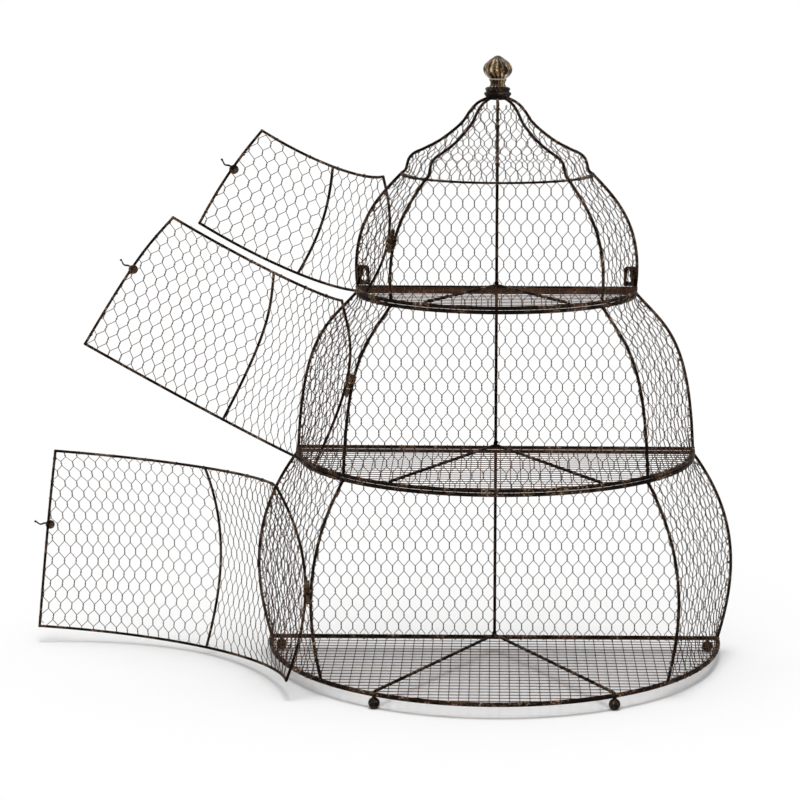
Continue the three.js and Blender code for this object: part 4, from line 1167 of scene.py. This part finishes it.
def keyhole_outlines():
    """The plate's edge and the keyhole, as (across, up) points."""
    top = np.linspace(0, math.pi / 2, 10)
    edge = [(0, 0), (FOOT_WIDTH, 0), (HEAD_WIDTH, PLATE_TALL)]
    edge += [(PLATE_ROUND - PLATE_ROUND * math.sin(a), PLATE_TALL - PLATE_ROUND + PLATE_ROUND * math.cos(a))
             for a in top]
    edge = [(max(across, PLATE_RIM), min(max(up, PLATE_RIM), PLATE_TALL - PLATE_RIM)) for across, up in edge]
    meet = math.asin(SLOT / HOLE)
    key = [(KEY_ACROSS + HOLE * math.sin(a), HOLE_RISE + HOLE * math.cos(a))
           for a in np.linspace(meet, 2 * math.pi - meet, 32)]
    key += [(KEY_ACROSS - SLOT * math.cos(a), SLOT_RISE + SLOT * math.sin(a))
            for a in np.linspace(0, math.pi, 14)]
    return edge, key


def keyhole_plate(name, hand):
    """The mesh of a plate; hand is 1 for the right and -1 for the left."""
    curve = bpy.data.curves.new(name, "CURVE")
    curve.dimensions, curve.fill_mode = "2D", "BOTH"
    curve.extrude, curve.bevel_depth, curve.bevel_resolution = PLATE_HALF / 1000, PLATE_RIM / 1000, 2
    for points in keyhole_outlines():
        spline = curve.splines.new("POLY")
        spline.points.add(len(points) - 1)
        spline.use_cyclic_u = True
        for point, (across, up) in zip(spline.points, points):
            point.co = (hand * (PLATE_IN + across) / 1000, up / 1000, 0, 1)
    flat = bpy.data.objects.new(name + "_flat", curve)
    bpy.context.scene.collection.objects.link(flat)
    bpy.context.view_layer.update()
    mesh = bpy.data.meshes.new_from_object(flat)
    bpy.data.objects.remove(flat)
    upright = Matrix.Rotation(math.pi / 2, 4, "X")
    mesh.transform(Matrix.Translation((0, -PLATE_OFF_WALL / 1000, PLATE_FOOT / 1000)) @ upright)
    mesh.materials.clear()
    return mesh


for side, hand in (("right", 1), ("left", -1)):
    name = f"keyhole_plate_{side}"
    settle(name, keyhole_plate(name, hand), iron, "cage", [f"hanger_{side}"])
print(len(pieces), "pieces in all")

# %% [markdown]
# ## Floor, light and camera
# The cage stands on a plain pale floor that runs into a white surround. The floor is a little darker than
# white, so that it can hold the soft shadow under the hoop. From here on, places are in metres.

# %% Floor
FLOOR_HALF, FLOOR_Z = 30, -0.01811
floor_mesh_data = bpy.data.meshes.new("floor")
floor_mesh_data.from_pydata([(x * FLOOR_HALF, y * FLOOR_HALF, FLOOR_Z)
                             for x, y in ((-1, -1), (1, -1), (1, 1), (-1, 1))], [], [(0, 1, 2, 3)])
floor = bpy.data.objects.new("floor", floor_mesh_data)
bpy.context.scene.collection.objects.link(floor)
paper = Finish("white_paper", Roughness=0.9, Specular_IOR_Level=0.0, Base_Color=(0.93, 0.93, 0.93, 1))
floor_mesh_data.materials.append(paper.material)
print("the floor lies at", FLOOR_Z, "m")

# %% [markdown]
# The surround is white to the eye but gives little light, so that the lamps can model the rods. Rays from
# the camera see it at full strength, and so do mirror rays and rays through the glass; rays that light a
# surface see it dimmed.

# %% White surround
DIM, FULL = 0.24, 1.0
world = bpy.data.worlds.new("studio")
bpy.context.scene.world = world
world.use_nodes = True
sky = Tree(world.node_tree)
direct = sky.node("LightPath", output="Is Camera Ray")
for kind in ("Is Glossy Ray", "Is Transmission Ray"):
    direct = sky.node("Math", {"operation": "MAXIMUM"}, {0: direct, 1: sky.node("LightPath", output=kind)})
background = world.node_tree.nodes["Background"]
strength = sky.node("MapRange", sockets={"Value": direct, "To Min": DIM, "To Max": FULL})
sky.feed(background.inputs["Strength"], strength)
sky.feed(background.inputs["Color"], (1, 1, 1, 1))
print("surround:", DIM, "as light,", FULL, "to the eye")

# %% [markdown]
# Three suns stand in for soft boxes, because a sun lights a wide floor evenly. A narrow one straight above
# gives the line of shadow under the hoop, a very wide one above softens it, and a weak one from the front
# rounds the rods.


# %% Soft suns
def sun(name, strength, spread, direction):
    lamp = bpy.data.lights.new(name, "SUN")
    lamp.energy, lamp.angle = strength, math.radians(spread)
    thing = bpy.data.objects.new(name, lamp)
    thing.rotation_euler = Vector(direction).to_track_quat("-Z", "Y").to_euler()
    bpy.context.scene.collection.objects.link(thing)


sun("overhead", strength=1.25, spread=20, direction=(0.02, 0.03, -1))
sun("softbox", strength=1.3, spread=70, direction=(0.02, 0.1, -1))
sun("front_fill", strength=0.2, spread=60, direction=(0.4, 1, -0.7))
print("suns:", ", ".join(lamp.name for lamp in bpy.data.lights))

# %% [markdown]
# The camera stands three and a quarter metres away and a little above the cage, looks down by ten and a half
# degrees, and is shifted sideways, because the photograph frames the open doors and not the cage's middle.
# Its focal length was fitted in pixels of the 800-pixel-wide picture, and so was the column it points at.

# %% Camera
PICTURE, FOCAL_PIXELS, AIM_PIXELS, SENSOR = 800, 2498, 494.4, 36
camera_data = bpy.data.cameras.new("camera")
camera_data.sensor_width, camera_data.lens = SENSOR, SENSOR * FOCAL_PIXELS / PICTURE
camera_data.shift_x = (PICTURE / 2 - AIM_PIXELS) / PICTURE
camera_data.clip_start, camera_data.clip_end = 0.05, 200
camera = bpy.data.objects.new("camera", camera_data)
stand, pitch, roll = (-0.002, -3.265, 0.939), math.radians(90 - 10.64), 0.0057
camera.matrix_world = (Matrix.Translation(stand) @ Matrix.Rotation(pitch, 4, "X")
                       @ Matrix.Rotation(roll, 4, "Z"))
bpy.context.scene.collection.objects.link(camera)
bpy.context.scene.camera = camera
bpy.context.scene.view_settings.view_transform = "Standard"
print("lens", round(camera_data.lens, 1), "mm")
